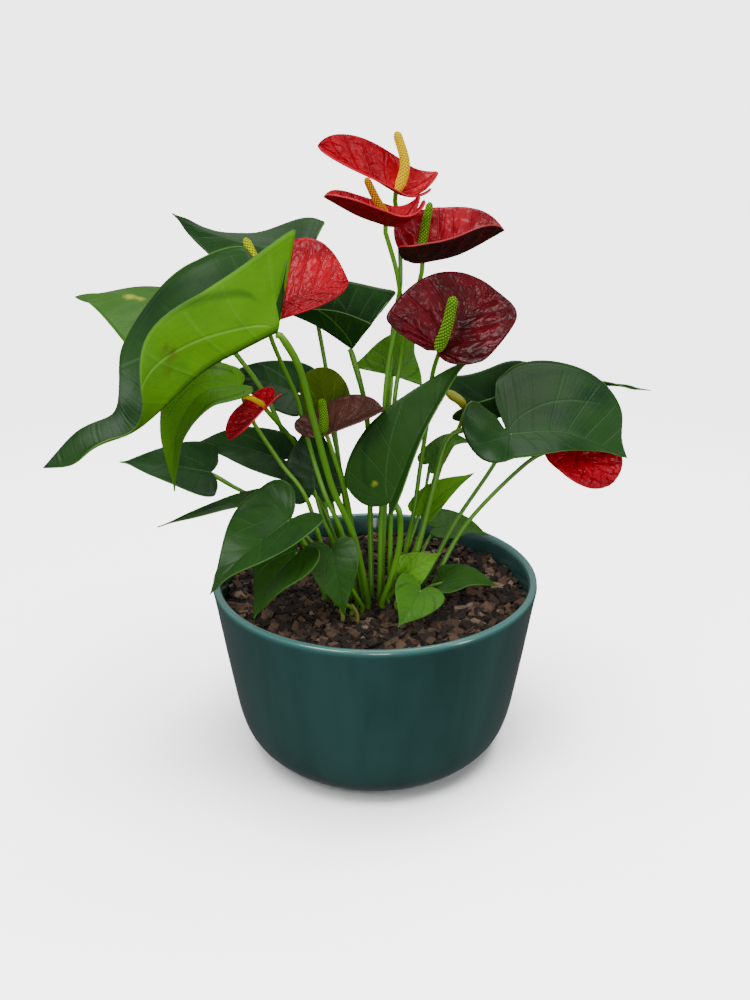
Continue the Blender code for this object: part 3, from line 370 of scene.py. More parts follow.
# Each leaf: its midrib from base to tip in millimetres, which way its upper side faces along the midrib, the half
# widths left and right, how far each half is folded up in degrees and the petiole's way down to the crown
leafPlans = {
    "leaf_hooded_left": {
        "rib": ((-51, -72, 293), (-70, -76, 284), (-92, -80, 272), (-126, -84, 243), (-150, -84, 234),
                (-179, -84, 221)),
        "face": ((0.1, 0.2, 1), (0, 0.15, 1), (-0.1, -0.2, 0.9), (-0.3, -0.8, 0.5)),
        "width": (44, 70), "cup": ((80, 70, 26, 0), (54, 52, 40, 5)), "lobe": (0.2, 0.05), "lift": (0, 10),
        "outline": "hooded",
        "stem": ((-41, -62, 271), (-34, -52, 236), (-25, -42, 194), (-13, -34, 160)), "radius": 2.0,
    },
    "leaf_back_left": {
        "rib": ((-104, 40, 274), (-144, 46, 288), (-176, 50, 292), (-192, 50, 290)),
        "face": ((0.1, -0.5, 0.85), (0, -0.4, 0.9)),
        "width": (54, 36), "cup": (5, -18), "lobe": (0.2, 0.2), "lift": (10, 10), "slim": (0.7, 1),
        "stem": ((-88, 34, 256), (-70, 26, 232), (-56, 24, 200), (-34, 10, 160)), "radius": 1.7,
    },
    "leaf_back_top": {
        "rib": ((-43, 42, 318), (-84, 46, 325), (-110, 46, 333), (-125, 45, 342)),
        "face": ((0, -0.3, 1), (0, -0.35, 0.9)),
        "width": (36, 44), "cup": (-30, (8, -16, -20)), "lobe": (0.06, 0.06), "lift": (0, 45),
        "stem": ((-37, 38, 280), (-30, 36, 236), (-21, 20, 170)), "radius": 1.5,
    },
    "leaf_folded_middle": {
        "rib": ((-14, 12, 265), (-35, 16, 278), (-60, 20, 288)),
        "face": ((0.2, -0.05, 1), (0, -0.1, 1)),
        "width": (27, 46), "cup": (62, 54), "lobe": (0.05, 0.05), "lift": (0, 0), "slim": (1, 0.55),
        "outline": "cornered",
        "stem": ((-7, 9, 235), (-4, 4, 208), (-3, 0, 153)), "radius": 1.8,
    },
    "leaf_behind_stems": {
        "rib": ((11, 46, 240), (16, 55, 254), (26, 62, 268)),
        "face": ((0, -0.7, 0.7), (0, -0.9, 0.4)),
        "width": (26, 21), "cup": (5, 5), "lobe": (0.05, 0.05), "lift": (0, 0), "outline": "cornered",
        "stem": ((9, 38, 216), (7, 16, 166)), "radius": 1.4,
    },
    "leaf_drooping_left": {
        "rib": ((-77, -35, 254), (-98, -48, 252), (-112, -54, 230), (-115, -56, 197)),
        "face": ((-0.2, -0.5, 0.8), (-0.7, -0.7, 0.2), (-0.8, -0.6, -0.1)),
        "width": (18, 17), "cup": (10, 25), "roll": (10, 30), "lobe": (0.05, 0.05), "lift": (0, 0),
        "outline": "slender",
        "stem": ((-73, -28, 233), (-57, -25, 204), (-40, -28, 178)), "radius": 1.4,
    },
    "leaf_shaded_left": {
        "rib": ((-52, 50, 227), (-78, 54, 235), (-103, 56, 238)),
        "face": ((0, -0.6, 0.8), (0, -0.6, 0.8)),
        "width": (22, 22), "cup": (10, 10), "lobe": (0.2, 0.2), "lift": (0, 0),
        "stem": ((-44, 40, 208), (-30, 18, 170)), "radius": 1.3,
    },
    "leaf_round_olive": {
        "rib": ((-30, 18, 226), (-33, 21, 238), (-34, 22, 251)),
        "face": ((0, 0.9, 0.3), (0, 0.95, 0.1)),
        "width": (16, 16), "cup": (8, 8), "lobe": (0.2, 0.2), "lift": (0, 0), "outline": "round",
        "stem": ((-24, 13, 196), (-16, 5, 160)), "radius": 1.2,
    },
    "leaf_left_outer": {
        "rib": ((-100, -20, 196), (-126, -26, 203), (-152, -30, 206)),
        "face": ((0, -0.5, 0.85), (0, -0.6, 0.8)),
        "width": (22, 20), "cup": (10, 10), "lobe": (0.08, 0.08), "lift": (0, 0),
        "stem": ((-90, -16, 187), (-54, -13, 160)), "radius": 1.4,
    },
    "leaf_left_inner": {
        "rib": ((-58, 4, 196), (-89, 2, 206), (-119, 0, 206)),
        "face": ((0, -0.5, 0.85), (0, -0.6, 0.8)),
        "width": (20, 19), "cup": (12, 12), "lobe": (0.12, 0.12), "lift": (0, 0),
        "stem": ((-48, 0, 188), (-30, -6, 160)), "radius": 1.3,
    },
    "leaf_upright_left": {
        "rib": ((-37, -16, 184), (-38, -8, 206), (-37, 0, 228)),
        "face": ((0, -0.9, 0.3), (0, -0.95, 0.2)),
        "width": (20, 17), "cup": (8, 8), "lobe": (0.2, 0.2), "lift": (0, 0),
        "stem": ((-33, -17, 166), (-24, -19, 144)), "radius": 1.3,
    },
    "leaf_edge_on_left": {
        "rib": ((-64, -20, 181), (-91, -28, 178), (-130, -42, 169)),
        "face": ((0, -0.15, 1), (0, -0.1, 1)),
        "width": (12, 8), "cup": (10, 10), "lobe": (0.12, 0.12), "lift": (0, 0),
        "stem": ((-54, -27, 171), (-34, -33, 148)), "radius": 1.4,
    },
    "leaf_front_left": {
        "rib": ((-50, -50, 177), (-70, -68, 167), (-86, -78, 154), (-94, -82, 144)),
        "face": ((-0.2, -0.55, 0.8), (-0.4, -0.6, 0.6)),
        "width": (24, 29), "cup": (18, 12), "lobe": (0.2, 0.25), "lift": (0, 50),
        "stem": ((-44, -48, 165), (-32, -40, 138)), "radius": 1.5,
    },
    "leaf_front_low": {
        "rib": ((-46, -53, 157), (-60, -62, 144), (-72, -66, 120)),
        "face": ((-0.2, -0.6, 0.7), (-0.5, -0.6, 0.4)),
        "width": (17, 20), "cup": (12, 12), "lobe": (0.2, 0.12), "lift": (0, 0),
        "stem": ((-38, -49, 146), (-26, -44, 126)), "radius": 1.3,
    },
    "leaf_front_middle": {
        "rib": ((-26, -46, 156), (-23, -54, 142), (-18, -58, 118)),
        "face": ((0, -0.8, 0.6), (0, -0.95, 0.2)),
        "width": (16, 16), "cup": (12, 12), "lobe": (0.15, 0.15), "lift": (0, 0),
        "stem": ((-22, -43, 148), (-15, -38, 128)), "radius": 1.2,
    },
    "leaf_arrow_centre": {
        "rib": ((10, -33, 182), (22, -29, 213), (34, -22, 236), (47, -14, 255), (59, -8, 264)),
        "face": ((-0.3, -0.8, 0.4), (-0.2, -0.8, 0.3)),
        "width": (34, 15), "cup": (8, 60), "lobe": (0.1, 0.06), "lift": (0, 0), "sweep": (0.06, 0),
        "stem": ((15, -32, 173), (15, -30, 152), (10, -28, 128)), "radius": 1.9,
    },
    "leaf_broad_right": {
        "rib": ((82, -10, 217), (117, -8, 217), (154, -14, 203)),
        "face": ((-0.1, -0.15, 1), (0.2, -0.2, 0.95)),
        "width": (54, 20), "cup": (26, -20), "lobe": (0.07, 0.4), "lift": (0, 35), "curl": (0, -55),
        "outline": "broad",
        "stem": ((66, 0, 215), (54, 2, 216), (44, 0, 208), (36, -7, 180), (26, -14, 140)), "radius": 2.0,
    },
    "leaf_back_right": {
        "rib": ((92, 46, 214), (125, 52, 226), (155, 54, 231), (182, 48, 229)),
        "face": ((-0.1, 0, 1), (0.1, -0.1, 1)),
        "width": (34, 32), "cup": ((62, 44, 10), (44, 34, 20)), "lobe": (0.4, 0.45), "lift": (34, 20),
        "slim": (2.8, 1.6), "outline": "backed",
        "stem": ((86, 40, 202), (79, 32, 184), (52, 14, 148)), "radius": 1.5,
    },
    "leaf_small_back_right": {
        "rib": ((36, 32, 184), (50, 36, 198), (66, 38, 196)),
        "face": ((-0.3, -0.6, 0.7), (0, -0.5, 0.9)),
        "width": (10, 10), "cup": (10, 10), "lobe": (0.12, 0.12), "lift": (0, 0),
        "stem": ((33, 24, 168), (24, 10, 140)), "radius": 1.1,
    },
    "leaf_young_upright": {
        "rib": ((31, 0, 160), (44, 4, 174), (64, 8, 186)),
        "face": ((-0.4, -0.7, 0.5), (-0.3, -0.8, 0.4)),
        "width": (13, 9), "cup": (10, 20), "lobe": (0.1, 0.1), "lift": (0, 0),
        "stem": ((29, -4, 148), (25, -10, 130)), "radius": 1.2,
    },
    "leaf_small_right": {
        "rib": ((42, 32, 138), (60, 40, 136), (79, 46, 126)),
        "face": ((-0.1, -0.4, 0.9), (0.2, -0.3, 0.9)),
        "width": (16, 14), "cup": (10, 10), "lobe": (0.2, 0.2), "lift": (0, 0),
        "stem": ((35, 23, 131), (27, 9, 119)), "radius": 1.1,
    },
    "leaf_young_front": {
        "rib": ((18, -23, 128), (29, -22, 136), (42, -19, 142)),
        "face": ((-0.2, -0.7, 0.6), (-0.2, -0.7, 0.6)),
        "width": (12, 13), "cup": (8, 8), "lobe": (0.1, 0.1), "lift": (0, 0),
        "stem": ((15, -24, 121),), "radius": 1.1,
    },
    "leaf_low_front_right": {
        "rib": ((28, -40, 126), (22, -50, 120), (14, -58, 110)),
        "face": ((0.1, -0.7, 0.7), (-0.1, -0.9, 0.5)),
        "width": (16, 16), "cup": (10, 10), "lobe": (0.2, 0.2), "lift": (0, 0),
        "stem": ((26, -37, 121), (20, -32, 114)), "radius": 1.1,
    },
    "leaf_low_right": {
        "rib": ((45, -13, 119), (61, -14, 122), (79, -15, 117)),
        "face": ((-0.1, -0.4, 0.9), (0.1, -0.4, 0.9)),
        "width": (12, 11), "cup": (10, 10), "lobe": (0.15, 0.15), "lift": (0, 0),
        "stem": ((36, -15, 117), (28, -18, 113)), "radius": 1.0,
    },
}


# Each flower: its spathe like a leaf, the peduncle's way down and the spadix's way up from the same base
flowerPlans = {
    "flower_top": {
        "rib": ((12, 7, 357), (-10, 4, 370), (-32, 1, 383)),
        "face": ((0.5, -0.4, 0.8), (0.3, -0.7, 0.6)),
        "width": (14, 18), "cup": (32, (44, 36)), "lobe": (0.4, 0.42), "lift": (80, 80),
        "stem": ((14, 15, 338), (15, 15, 321), (15, 12, 302), (11, 7, 280), (9, 3, 253), (5, -2, 215)),
        "spadix": ((17, 5, 373), (12, 6, 390)), "spadixRadius": 3.2, "colour": "red", "spadixColour": "yellow",
    },
    "flower_second": {
        "rib": ((6, -16, 341), (-10, -20, 347), (-28, -24, 357)),
        "face": ((0.3, -0.1, 1), (0.3, -0.1, 1)),
        "width": (14, 14), "cup": (40, 40), "lobe": (0.62, 0.62), "lift": (100, 100),
        "stem": ((13, -10, 312), (14, -8, 290), (6, -10, 240)),
        "spadix": ((1, -24, 355), (-5, -26, 367)), "spadixRadius": 2.6, "colour": "red",
        "spadixColour": "orange",
    },
    "flower_cupped": {
        "rib": ((27, -12, 320), (48, -13, 325), (73, -12, 338)),
        "face": ((-0.2, -0.1, 1), (-0.3, -0.1, 1)),
        "width": (36, 24), "cup": (40, 38), "lobe": (0.28, 0.25), "lift": (40, 40),
        "stem": ((24, -10, 302), (18, -6, 279), (15, -3, 259), (11, -8, 223)),
        "spadix": ((28, -11, 338), (31, -10, 353)), "spadixRadius": 2.8, "colour": "red",
        "spadixColour": "green",
    },
    "flower_maroon": {
        "rib": ((37, -31, 275), (52, -27, 292), (67, -20, 307)),
        "face": ((-0.2, -0.9, 0.35), (-0.2, -0.9, 0.4)),
        "width": (36, 27), "cup": (12, 16), "lobe": (0.16, 0.12), "lift": (0, 0), "sweep": (-0.1, 0.3),
        "stem": ((34, -12, 254), (33, 0, 228), (29, 2, 196), (24, -4, 160)),
        "spadix": ((40, -40, 289), (43, -43, 306)), "spadixRadius": 3.6, "colour": "maroon",
        "spadixColour": "green",
    },
    "flower_left": {
        "rib": ((-56, -24, 298), (-37, -23, 304), (-15, -20, 311)),
        "face": ((-0.3, -0.7, 0.6), (-0.2, -0.7, 0.6)),
        "width": (35, 12), "cup": (10, 10), "lobe": (0.2, 0.2), "lift": (0, 0), "sweep": (0.18, 0),
        "stem": ((-61, -20, 282), (-48, -3, 239), (-44, -4, 222), (-35, -22, 197), (-29, -26, 180), (-20, -24, 156)),
        "spadix": ((-64, -28, 318), (-72, -24, 335)), "spadixRadius": 3.0, "colour": "red",
        "spadixColour": "yellow",
    },
    "flower_brown": {
        "rib": ((-29, -26, 222), (-12, -25, 230), (5, -22, 236)),
        "face": ((-0.1, -0.3, 1), (-0.1, -0.4, 0.9)),
        "width": (20, 12), "cup": (20, 30), "lobe": (0.45, 0.3), "lift": (35, 70),
        "stem": ((-24, -24, 205), (-19, -21, 186), (-14, -17, 155)),
        "spadix": ((-30, -30, 234), (-31, -32, 245)), "spadixRadius": 3.0, "colour": "brown",
        "spadixColour": "green",
    },
    "flower_young": {
        "rib": ((-63, -40, 242), (-72, -45, 235), (-83, -50, 226)),
        "face": ((-0.7, -0.5, 0.7), (-0.7, -0.6, 0.5)),
        "width": (12, 12), "cup": (30, 30), "lobe": (0.42, 0.42), "lift": (0, 0),
        "stem": ((-58, -22, 228), (-50, 0, 208), (-34, 0, 176)),
        "spadix": ((-72, -42, 249), (-79, -44, 250)), "spadixRadius": 1.6, "colour": "red",
        "spadixColour": "yellow",
    },
    "flower_right": {
        "rib": ((124, 2, 204), (136, -6, 196), (146, -14, 186)),
        "face": ((0.1, -0.8, 0.6), (0.2, -0.9, 0.3)),
        "width": (20, 20), "cup": (12, 12), "lobe": (0.4, 0.4), "lift": (0, 0),
        "stem": ((115, 8, 201), (96, 8, 192), (59, 6, 151)),
        "spadix": ((128, -6, 207), (133, -10, 211)), "spadixRadius": 2.0, "colour": "red",
        "spadixColour": "yellow",
    },
}


# The furled flower bud and the two dry sheaths at the crown
budWay = ((52, 5, 216), (55, 2, 228), (53, 0, 234), (47, -1, 239), (41, -2, 243))
budStem = ((45, 8, 200), (38, 14, 172), (28, 12, 136))
sheathPlans = {
    "sheath_green": {"way": ((-20, -44, 112), (-22, -47, 122)), "radius": 1.6},
    "sheath_yellow": {"way": ((-11, -46, 112), (-14, -50, 121)), "radius": 1.5},
}


# Blades. Outlines run from the back of a lobe to the tip: along the midrib, in lengths, and across it, in half widths
pointedOutline = (
    (-0.86, 0.30), (-1.0, 0.50), (-0.86, 0.76), (-0.42, 0.95), (0.10, 1.0), (0.27, 0.92), (0.44, 0.74),
    (0.60, 0.51), (0.74, 0.30), (0.86, 0.13), (0.94, 0.045), (1.0, 0.0),
)
roundOutline = (
    (-0.80, 0.14), (-1.0, 0.42), (-0.88, 0.74), (-0.42, 0.95), (0.12, 1.0), (0.36, 0.99), (0.57, 0.92),
    (0.74, 0.78), (0.87, 0.58), (0.95, 0.36), (0.99, 0.14), (1.0, 0.0),
)
# One half with a full round lobe, which nearly closes the notch
lobedOutline = (
    (-0.25, -0.62), (-0.80, -0.78), (-1.06, 0.18), (-0.60, 0.92), (0.10, 1.0), (0.27, 0.92), (0.44, 0.74),
    (0.60, 0.51), (0.74, 0.30), (0.86, 0.13), (0.94, 0.045), (1.0, 0.0),
)
squaredOutline = (
    (-0.90, 0.25), (-1.0, 0.55), (-0.98, 0.92), (-0.50, 0.98), (0.10, 1.0), (0.27, 0.92), (0.44, 0.74),
    (0.60, 0.51), (0.74, 0.30), (0.86, 0.13), (0.94, 0.045), (1.0, 0.0),
)
# One that is full nearly to its tip, one with a sharp corner beside the base, and one narrow at the base
fullOutline = (
    (-0.50, 0.24), (-1.0, 0.46), (-0.70, 0.70), (-0.20, 0.84), (0.08, 0.93), (0.20, 1.02), (0.36, 1.05),
    (0.54, 0.98), (0.71, 0.82), (0.84, 0.58), (0.91, 0.22), (1.0, 0.0),
)
corneredOutline = (
    (-0.30, 0.30), (-0.60, 0.60), (-0.88, 0.88), (-1.0, 1.0), (0.10, 0.90), (0.27, 0.76), (0.44, 0.61),
    (0.60, 0.45), (0.74, 0.31), (0.86, 0.17), (0.94, 0.07), (1.0, 0.0),
)
slenderOutline = (
    (-0.50, 0.12), (-1.0, 0.28), (-0.80, 0.48), (-0.20, 0.68), (0.13, 0.92), (0.28, 1.0), (0.44, 0.88),
    (0.60, 0.62), (0.74, 0.38), (0.86, 0.18), (0.94, 0.07), (1.0, 0.0),
)
# The hooded leaf's two halves differ: the near one is cornered, the far one fuller
hoodedOutline = (
    (
        (-0.20, 0.30), (-0.45, 0.50), (-0.75, 0.76), (-1.0, 0.97), (0.02, 0.86), (0.16, 0.81), (0.32, 0.78),
        (0.45, 0.56), (0.56, 0.30), (0.68, 0.21), (0.84, 0.20), (1.0, 0.0),
    ),
    (
        (-0.86, 0.30), (-1.0, 0.50), (-0.86, 0.72), (-0.42, 0.86), (0.10, 0.91), (0.24, 0.92), (0.38, 0.86),
        (0.50, 0.66), (0.60, 0.37), (0.70, 0.20), (0.84, 0.16), (1.0, 0.0),
    ),
)
bladeRules = {
    "lobeShare": 0.34, "linePower": 1.15, "sinusBow": 0.05, "sinusEnd": 0.18, "veinBow": 0.035,
    "ribSteps": 40, "maxBend": 1.5, "rows": 66, "columns": 14,
}


def unit(vector):
    vector = np.asarray(vector, float)
    return vector / np.linalg.norm(vector)


def splinePoint(before, start, end, after, t):
    return 0.5 * (
        2 * start
        + (end - before) * t
        + (2 * before - 5 * start + 4 * end - after) * t**2
        + (3 * start - before - 3 * end + after) * t**3
    )


def smoothCurve(points, count):
    # count points evenly spaced along a smooth curve through the given ones, and its length
    given = np.asarray(points, float)
    padded = np.vstack([2 * given[0] - given[1], given, 2 * given[-1] - given[-2]])
    fine = [
        splinePoint(*padded[i : i + 4], t)
        for i in range(len(given) - 1)
        for t in np.linspace(0, 1, 16, endpoint=False)
    ]
    fine = np.array(fine + [given[-1]])
    run = np.concatenate([[0], np.cumsum(np.linalg.norm(np.diff(fine, axis=0), axis=1))])
    places = np.linspace(0, run[-1], count)
    return np.stack([np.interp(places, run, fine[:, axis]) for axis in range(3)], -1), run[-1]


def alongValues(values, share):
    if np.isscalar(values):
        return float(values)
    place = min(max(share, 0), 1) * (len(values) - 1)
    first = int(min(place, len(values) - 2))
    blend = place - first
    blend = blend * blend * (3 - 2 * blend)
    return np.asarray(values[first]) * (1 - blend) + np.asarray(values[first + 1]) * blend


# A leaf's or spathe's middle surface: a midrib with two cupped halves and a lobe behind each
class Blade:
    def __init__(self, plan, outline):
        self.plan = plan
        self.rib, self.length = smoothCurve(plan["rib"], bladeRules["ribSteps"] + 1)
        self.tangents = np.gradient(self.rib, axis=0)
        pair = outline if len(outline) == 2 else (outline, outline)
        self.edges = [self.halfOutline(pair[half], half) for half in (0, 1)]

    def halfOutline(self, outline, half):
        outline = np.array(outline)
        outline[outline[:, 0] < 0, 0] *= self.plan["lobe"][half]
        outline[4:-1, 1] **= self.plan.get("slim", (1, 1))[half]
        return np.vstack([2 * outline[0] - outline[1], outline, 2 * outline[-1] - outline[-2]])

    def flat(self, v, u, half):
        edge = self.edges[half]
        place = v * (len(edge) - 3)
        first = int(min(place, len(edge) - 4))
        edgeAlong, edgeAcross = splinePoint(*edge[first : first + 4], place - first)
        lobeShare = bladeRules["lobeShare"]
        start = max(0.0, (v - lobeShare) / (1 - lobeShare)) ** bladeRules["linePower"]
        bow = math.sin(math.pi * u)
        place = start + (edgeAlong - start) * u
        across = edgeAcross * u - bladeRules["sinusBow"] * bow * max(0.0, 1 - v / bladeRules["sinusEnd"])
        if v > lobeShare:
            place += bladeRules["veinBow"] * bow * (1 - v)
        place += self.plan.get("sweep", (0, 0))[half] * across**2
        return place, max(across, min(edgeAcross * u, 0.0))

    def frame(self, place, half):
        steps = bladeRules["ribSteps"]
        step = min(max(place, 0), 1) * steps
        first = int(min(step, steps - 1))
        blend = step - first
        point = self.rib[first] * (1 - blend) + self.rib[first + 1] * blend
        ahead = unit(self.tangents[first] * (1 - blend) + self.tangents[first + 1] * blend)
        face = alongValues(self.plan["face"], place)
        up = unit(face - ahead * (face @ ahead))
        left = np.cross(up, ahead)
        if place < 0:
            reach = self.plan["lobe"][half] * self.length
            back = -place * self.length
            turn = math.radians(self.plan["lift"][half]) * min(back / reach, bladeRules["maxBend"])
            if abs(turn) < 1e-3:
                point = point - ahead * back
            else:
                bend = back / turn
                point = point - ahead * bend * math.sin(turn) + up * bend * (1 - math.cos(turn))
        return point, up, left

    def at(self, v, across):
        half, side = (0, 1) if across < 0 else (1, -1)
        plan = self.plan
        place, out = self.flat(v, abs(across), half)
        point, up, left = self.frame(place, half)
        cup = math.radians(alongValues(plan["cup"][half], place))
        if place < 0:
            cup += math.radians(plan.get("curl", (0, 0))[half]) * -place / plan["lobe"][half]
        roll = math.radians(plan.get("roll", (0, 0))[half])
        width = plan["width"][half]
        if abs(roll) < 1e-3:
            return point + left * side * out * width * math.cos(cup) + up * out * width * math.sin(cup)
        reach = width / roll * (math.sin(cup + roll * out) - math.sin(cup))
        return point + left * side * reach + up * width / roll * (math.cos(cup) - math.cos(cup + roll * out))


def bladeRelief(v, across, look, plan, point):
    # how far the blade's middle lies above its plain form, in millimetres
    side = abs(across)
    width = min(plan["width"]) / 30
    ends = min(1.0, (1 - v) * 6)
    quilt = -math.cos(math.tau * look["veins"] * v + math.pi) * math.sin(math.pi * side) ** 0.8
    groove = -math.exp(-((side * 14) ** 2)) * (1 - v)
    wave = math.sin(math.tau * (look["waves"] * v + look["phase"]) + (0 if across < 0 else 2.1)) * side**3
    pucker = noise.noise(Vector(point) * look["puckerScale"]) * math.sin(math.pi * side) ** 0.6
    return ends * width * (look["quilt"] * quilt + look["groove"] * groove + look["wave"] * wave
                           + look["pucker"] * pucker)


def bladeObject(name, plan, outline, look):
    blade = Blade(plan, outline)
    rows, columns = bladeRules["rows"], bladeRules["columns"]
    shares = np.linspace(-1, 1, 2 * columns + 1)
    shares = np.sign(shares) * np.abs(shares) ** 0.9
    levels = np.linspace(0, 1, rows + 1)
    points = np.array([[blade.at(v, u) for u in shares] for v in levels])
    alongSteps, acrossSteps = np.gradient(points, axis=0), np.gradient(points, axis=1)
    normals = np.cross(acrossSteps, alongSteps)
    lengths = np.linalg.norm(normals, axis=2, keepdims=True)
    normals = normals / np.maximum(lengths, 1e-6)
    for row, v in enumerate(levels):
        for column, u in enumerate(shares):
            rise = bladeRelief(v, u, look, plan, points[row, column])
            points[row, column] += normals[row, column] * rise
    basePoint = blade.frame(0, 0)[0]
    points[levels < bladeRules["lobeShare"], columns] = basePoint
    work = bmesh.new()
    uvLayer = work.loops.layers.uv.new("blade")
    flatLayer = work.loops.layers.uv.new("flat")
    flatPlaces = [[blade.flat(v, abs(u), 0 if u < 0 else 1) for u in shares] for v in levels]
    grid = [[work.verts.new(point * mm) for point in line] for line in points]
    for row in range(rows):
        for column in range(2 * columns):
            corners = ((row, column), (row, column + 1), (row + 1, column + 1), (row + 1, column))
            face = work.faces.new([grid[r][c] for r, c in corners])
            face.smooth = True
            for loop, (r, c) in zip(face.loops, corners):
                loop[uvLayer].uv = (0.5 + shares[c] / 2, levels[r])
                loop[flatLayer].uv = flatPlaces[r][c]
    bmesh.ops.remove_doubles(work, verts=work.verts, dist=1e-6)
    mesh = bpy.data.meshes.new(name)
    work.to_mesh(mesh)
    work.free()
    made = bpy.data.objects.new(name, mesh)
    bpy.context.scene.collection.objects.link(made)
    for surface in look["surfaces"]:
        mesh.materials.append(surface)
    solid = made.modifiers.new("thickness", "SOLIDIFY")
    solid.thickness = look["thick"] * mm
    solid.offset = 0.0
    solid.material_offset = 1
    solid.material_offset_rim = 2
    return plainMesh(made), blade


def plainMesh(thing):
    # the evaluated mesh as an object of its own, with no modifier; the first one goes
    graph = bpy.context.evaluated_depsgraph_get()
    mesh = bpy.data.meshes.new_from_object(thing.evaluated_get(graph), depsgraph=graph)
    name = thing.name
    bpy.data.objects.remove(thing, do_unlink=True)
    made = bpy.data.objects.new(name, mesh)
    mesh.name = name
    bpy.context.scene.collection.objects.link(made)
    return made


def setAttribute(thing, name, values):
    attribute = thing.data.attributes.get(name) or thing.data.attributes.new(name, "FLOAT", "POINT")
    attribute.data.foreach_set("value", np.broadcast_to(values, len(thing.data.vertices)).astype(np.float32))


def joined(name, pieces):
    first = pieces[0]
    with bpy.context.temp_override(active_object=first, object=first, selected_objects=pieces,
                                   selected_editable_objects=pieces):
        bpy.ops.object.join()
    first.name = name
    first.data.name = name
    return first


def placed(thing, node, slot):
    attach(thing, "root")
    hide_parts(node)
    return thing


# Geometry trees: named inputs, and one object made plain from each
def geometryTree(name, sizes):
    tree = bpy.data.node_groups.new(name, "GeometryNodeTree")
    tree.interface.new_socket("Geometry", in_out="INPUT", socket_type="NodeSocketGeometry")
    tree.interface.new_socket("Geometry", in_out="OUTPUT", socket_type="NodeSocketGeometry")
    for label, kind in sizes.items():
        tree.interface.new_socket(label, in_out="INPUT", socket_type="NodeSocket" + kind)
    kit = Kit(tree)
    entry = tree.nodes.new("NodeGroupInput")
    return tree, kit, {socket.name: Wire(kit, socket) for socket in entry.outputs if socket.name}


def endTree(kit, geometry, material):
    whole = kit.make("GeometryNodeRealizeInstances", None, {"Geometry": geometry})
    dressed = kit.make("GeometryNodeSetMaterial", None, {"Geometry": whole, "Material": material})
    last = kit.tree.nodes.new("NodeGroupOutput")
    kit.plug(last, "Geometry", dressed)


def grown(thing, tree, values):
    modifier = thing.modifiers.new(tree.name, "NODES")
    modifier.node_group = tree
    sockets = {item.name: item.identifier for item in tree.interface.items_tree if item.in_out == "INPUT"}
    for label, value in values.items():
        modifier[sockets[label]] = value
    return plainMesh(thing)


def lineObject(name, points):
    curve = bpy.data.curves.new(name, "CURVE")
    curve.dimensions = "3D"
    spline = curve.splines.new("POLY")
    spline.points.add(len(points) - 1)
    for place, point in zip(spline.points, points):
        place.co = (*(Vector(point) * mm), 1.0)
    made = bpy.data.objects.new(name, curve)
    bpy.context.scene.collection.objects.link(made)
    return made


# Stems
stemRules = {
    "crown": (2.0, -20.0), "footReach": 0.62, "footSpacing": 7.35, "footDepth": 20.0, "soilTop": 106.0,
    "collar": 3.0, "swell": 1.05, "taper": 0.9, "peduncle": 1.5, "points": 40, "sides": 12, "rounds": 300,
}


def stemTree():
    sizes = {"Foot radius": "Float", "Top radius": "Float", "Knee": "Float", "Sides": "Int", "Material": "Material"}
    tree, kit, given = geometryTree("stem", sizes)
    rise = kit.make("GeometryNodeSplineParameter")
    radius = given["Foot radius"] * (1.0 - rise) + given["Top radius"] * rise
    knee = kit.ease(rise, 0.84, 0.93) * kit.ease(rise, 0.96, 1.0, 1.0, 0.0)
    radius = radius * (given["Knee"] * knee + 1.0)
    thick = kit.make("GeometryNodeSetCurveRadius", None, {"Curve": given["Geometry"], "Radius": radius})
    kept = kit.make("GeometryNodeStoreNamedAttribute", {"data_type": "FLOAT"},
                    {"Geometry": thick, "Name": "rise", "Value": rise})
    ring = kit.make("GeometryNodeCurvePrimitiveCircle", None, {"Resolution": given["Sides"], "Radius": 1.0})
    tube = kit.make("GeometryNodeCurveToMesh", None, {"Curve": kept, "Profile Curve": ring, "Scale": radius,
                                                      "Fill Caps": True})
    endTree(kit, tube, given["Material"])
    return tree


def crownFeet(plans):
    crown = np.array(stemRules["crown"])
    reach = stemRules["footReach"]
    places = np.array([crown + reach * (np.array(plan["stem"][-1][:2]) - crown) for plan in plans.values()])
    for _ in range(stemRules["rounds"]):
        for one in range(len(places)):
            for other in range(one + 1, len(places)):
                gap = places[other] - places[one]
                distance = np.linalg.norm(gap)
                if distance < stemRules["footSpacing"]:
                    push = (stemRules["footSpacing"] - distance) / 2 * gap / distance
                    places[one] -= push
                    places[other] += push
    return dict(zip(plans, places))


def stemWay(foot, plan, end):
    top = stemRules["soilTop"]
    low = (foot[0], foot[1], top - stemRules["footDepth"])
    collar = (foot[0], foot[1], top + stemRules["collar"])
    above = (foot[0], foot[1], top + 2 * stemRules["collar"])
    curve, _ = smoothCurve([collar, above, *reversed(plan["stem"]), *end], stemRules["points"])
    return np.vstack([low, curve])


def stemObject(name, way, radius, knee, tone, material):
    sizes = {"Foot radius": radius * stemRules["swell"] * mm, "Top radius": radius * stemRules["taper"] * mm,
             "Knee": knee, "Sides": stemRules["sides"], "Material": material}
    made = grown(lineObject(name, way), stemNodes, sizes)
    made.data.shade_smooth()
    setAttribute(made, "tone", tone)
    return made


stemNodes = stemTree()


leafLook = {
    "thick": 0.8, "veins": 11.0, "quilt": 0.10, "groove": 0.45, "wave": 1.2, "waves": 2.5, "pucker": 0.5,
    "puckerScale": 0.06, "rootReach": 1.5, "surfaces": (leafUpper, leafUnder, leafEdge),
}
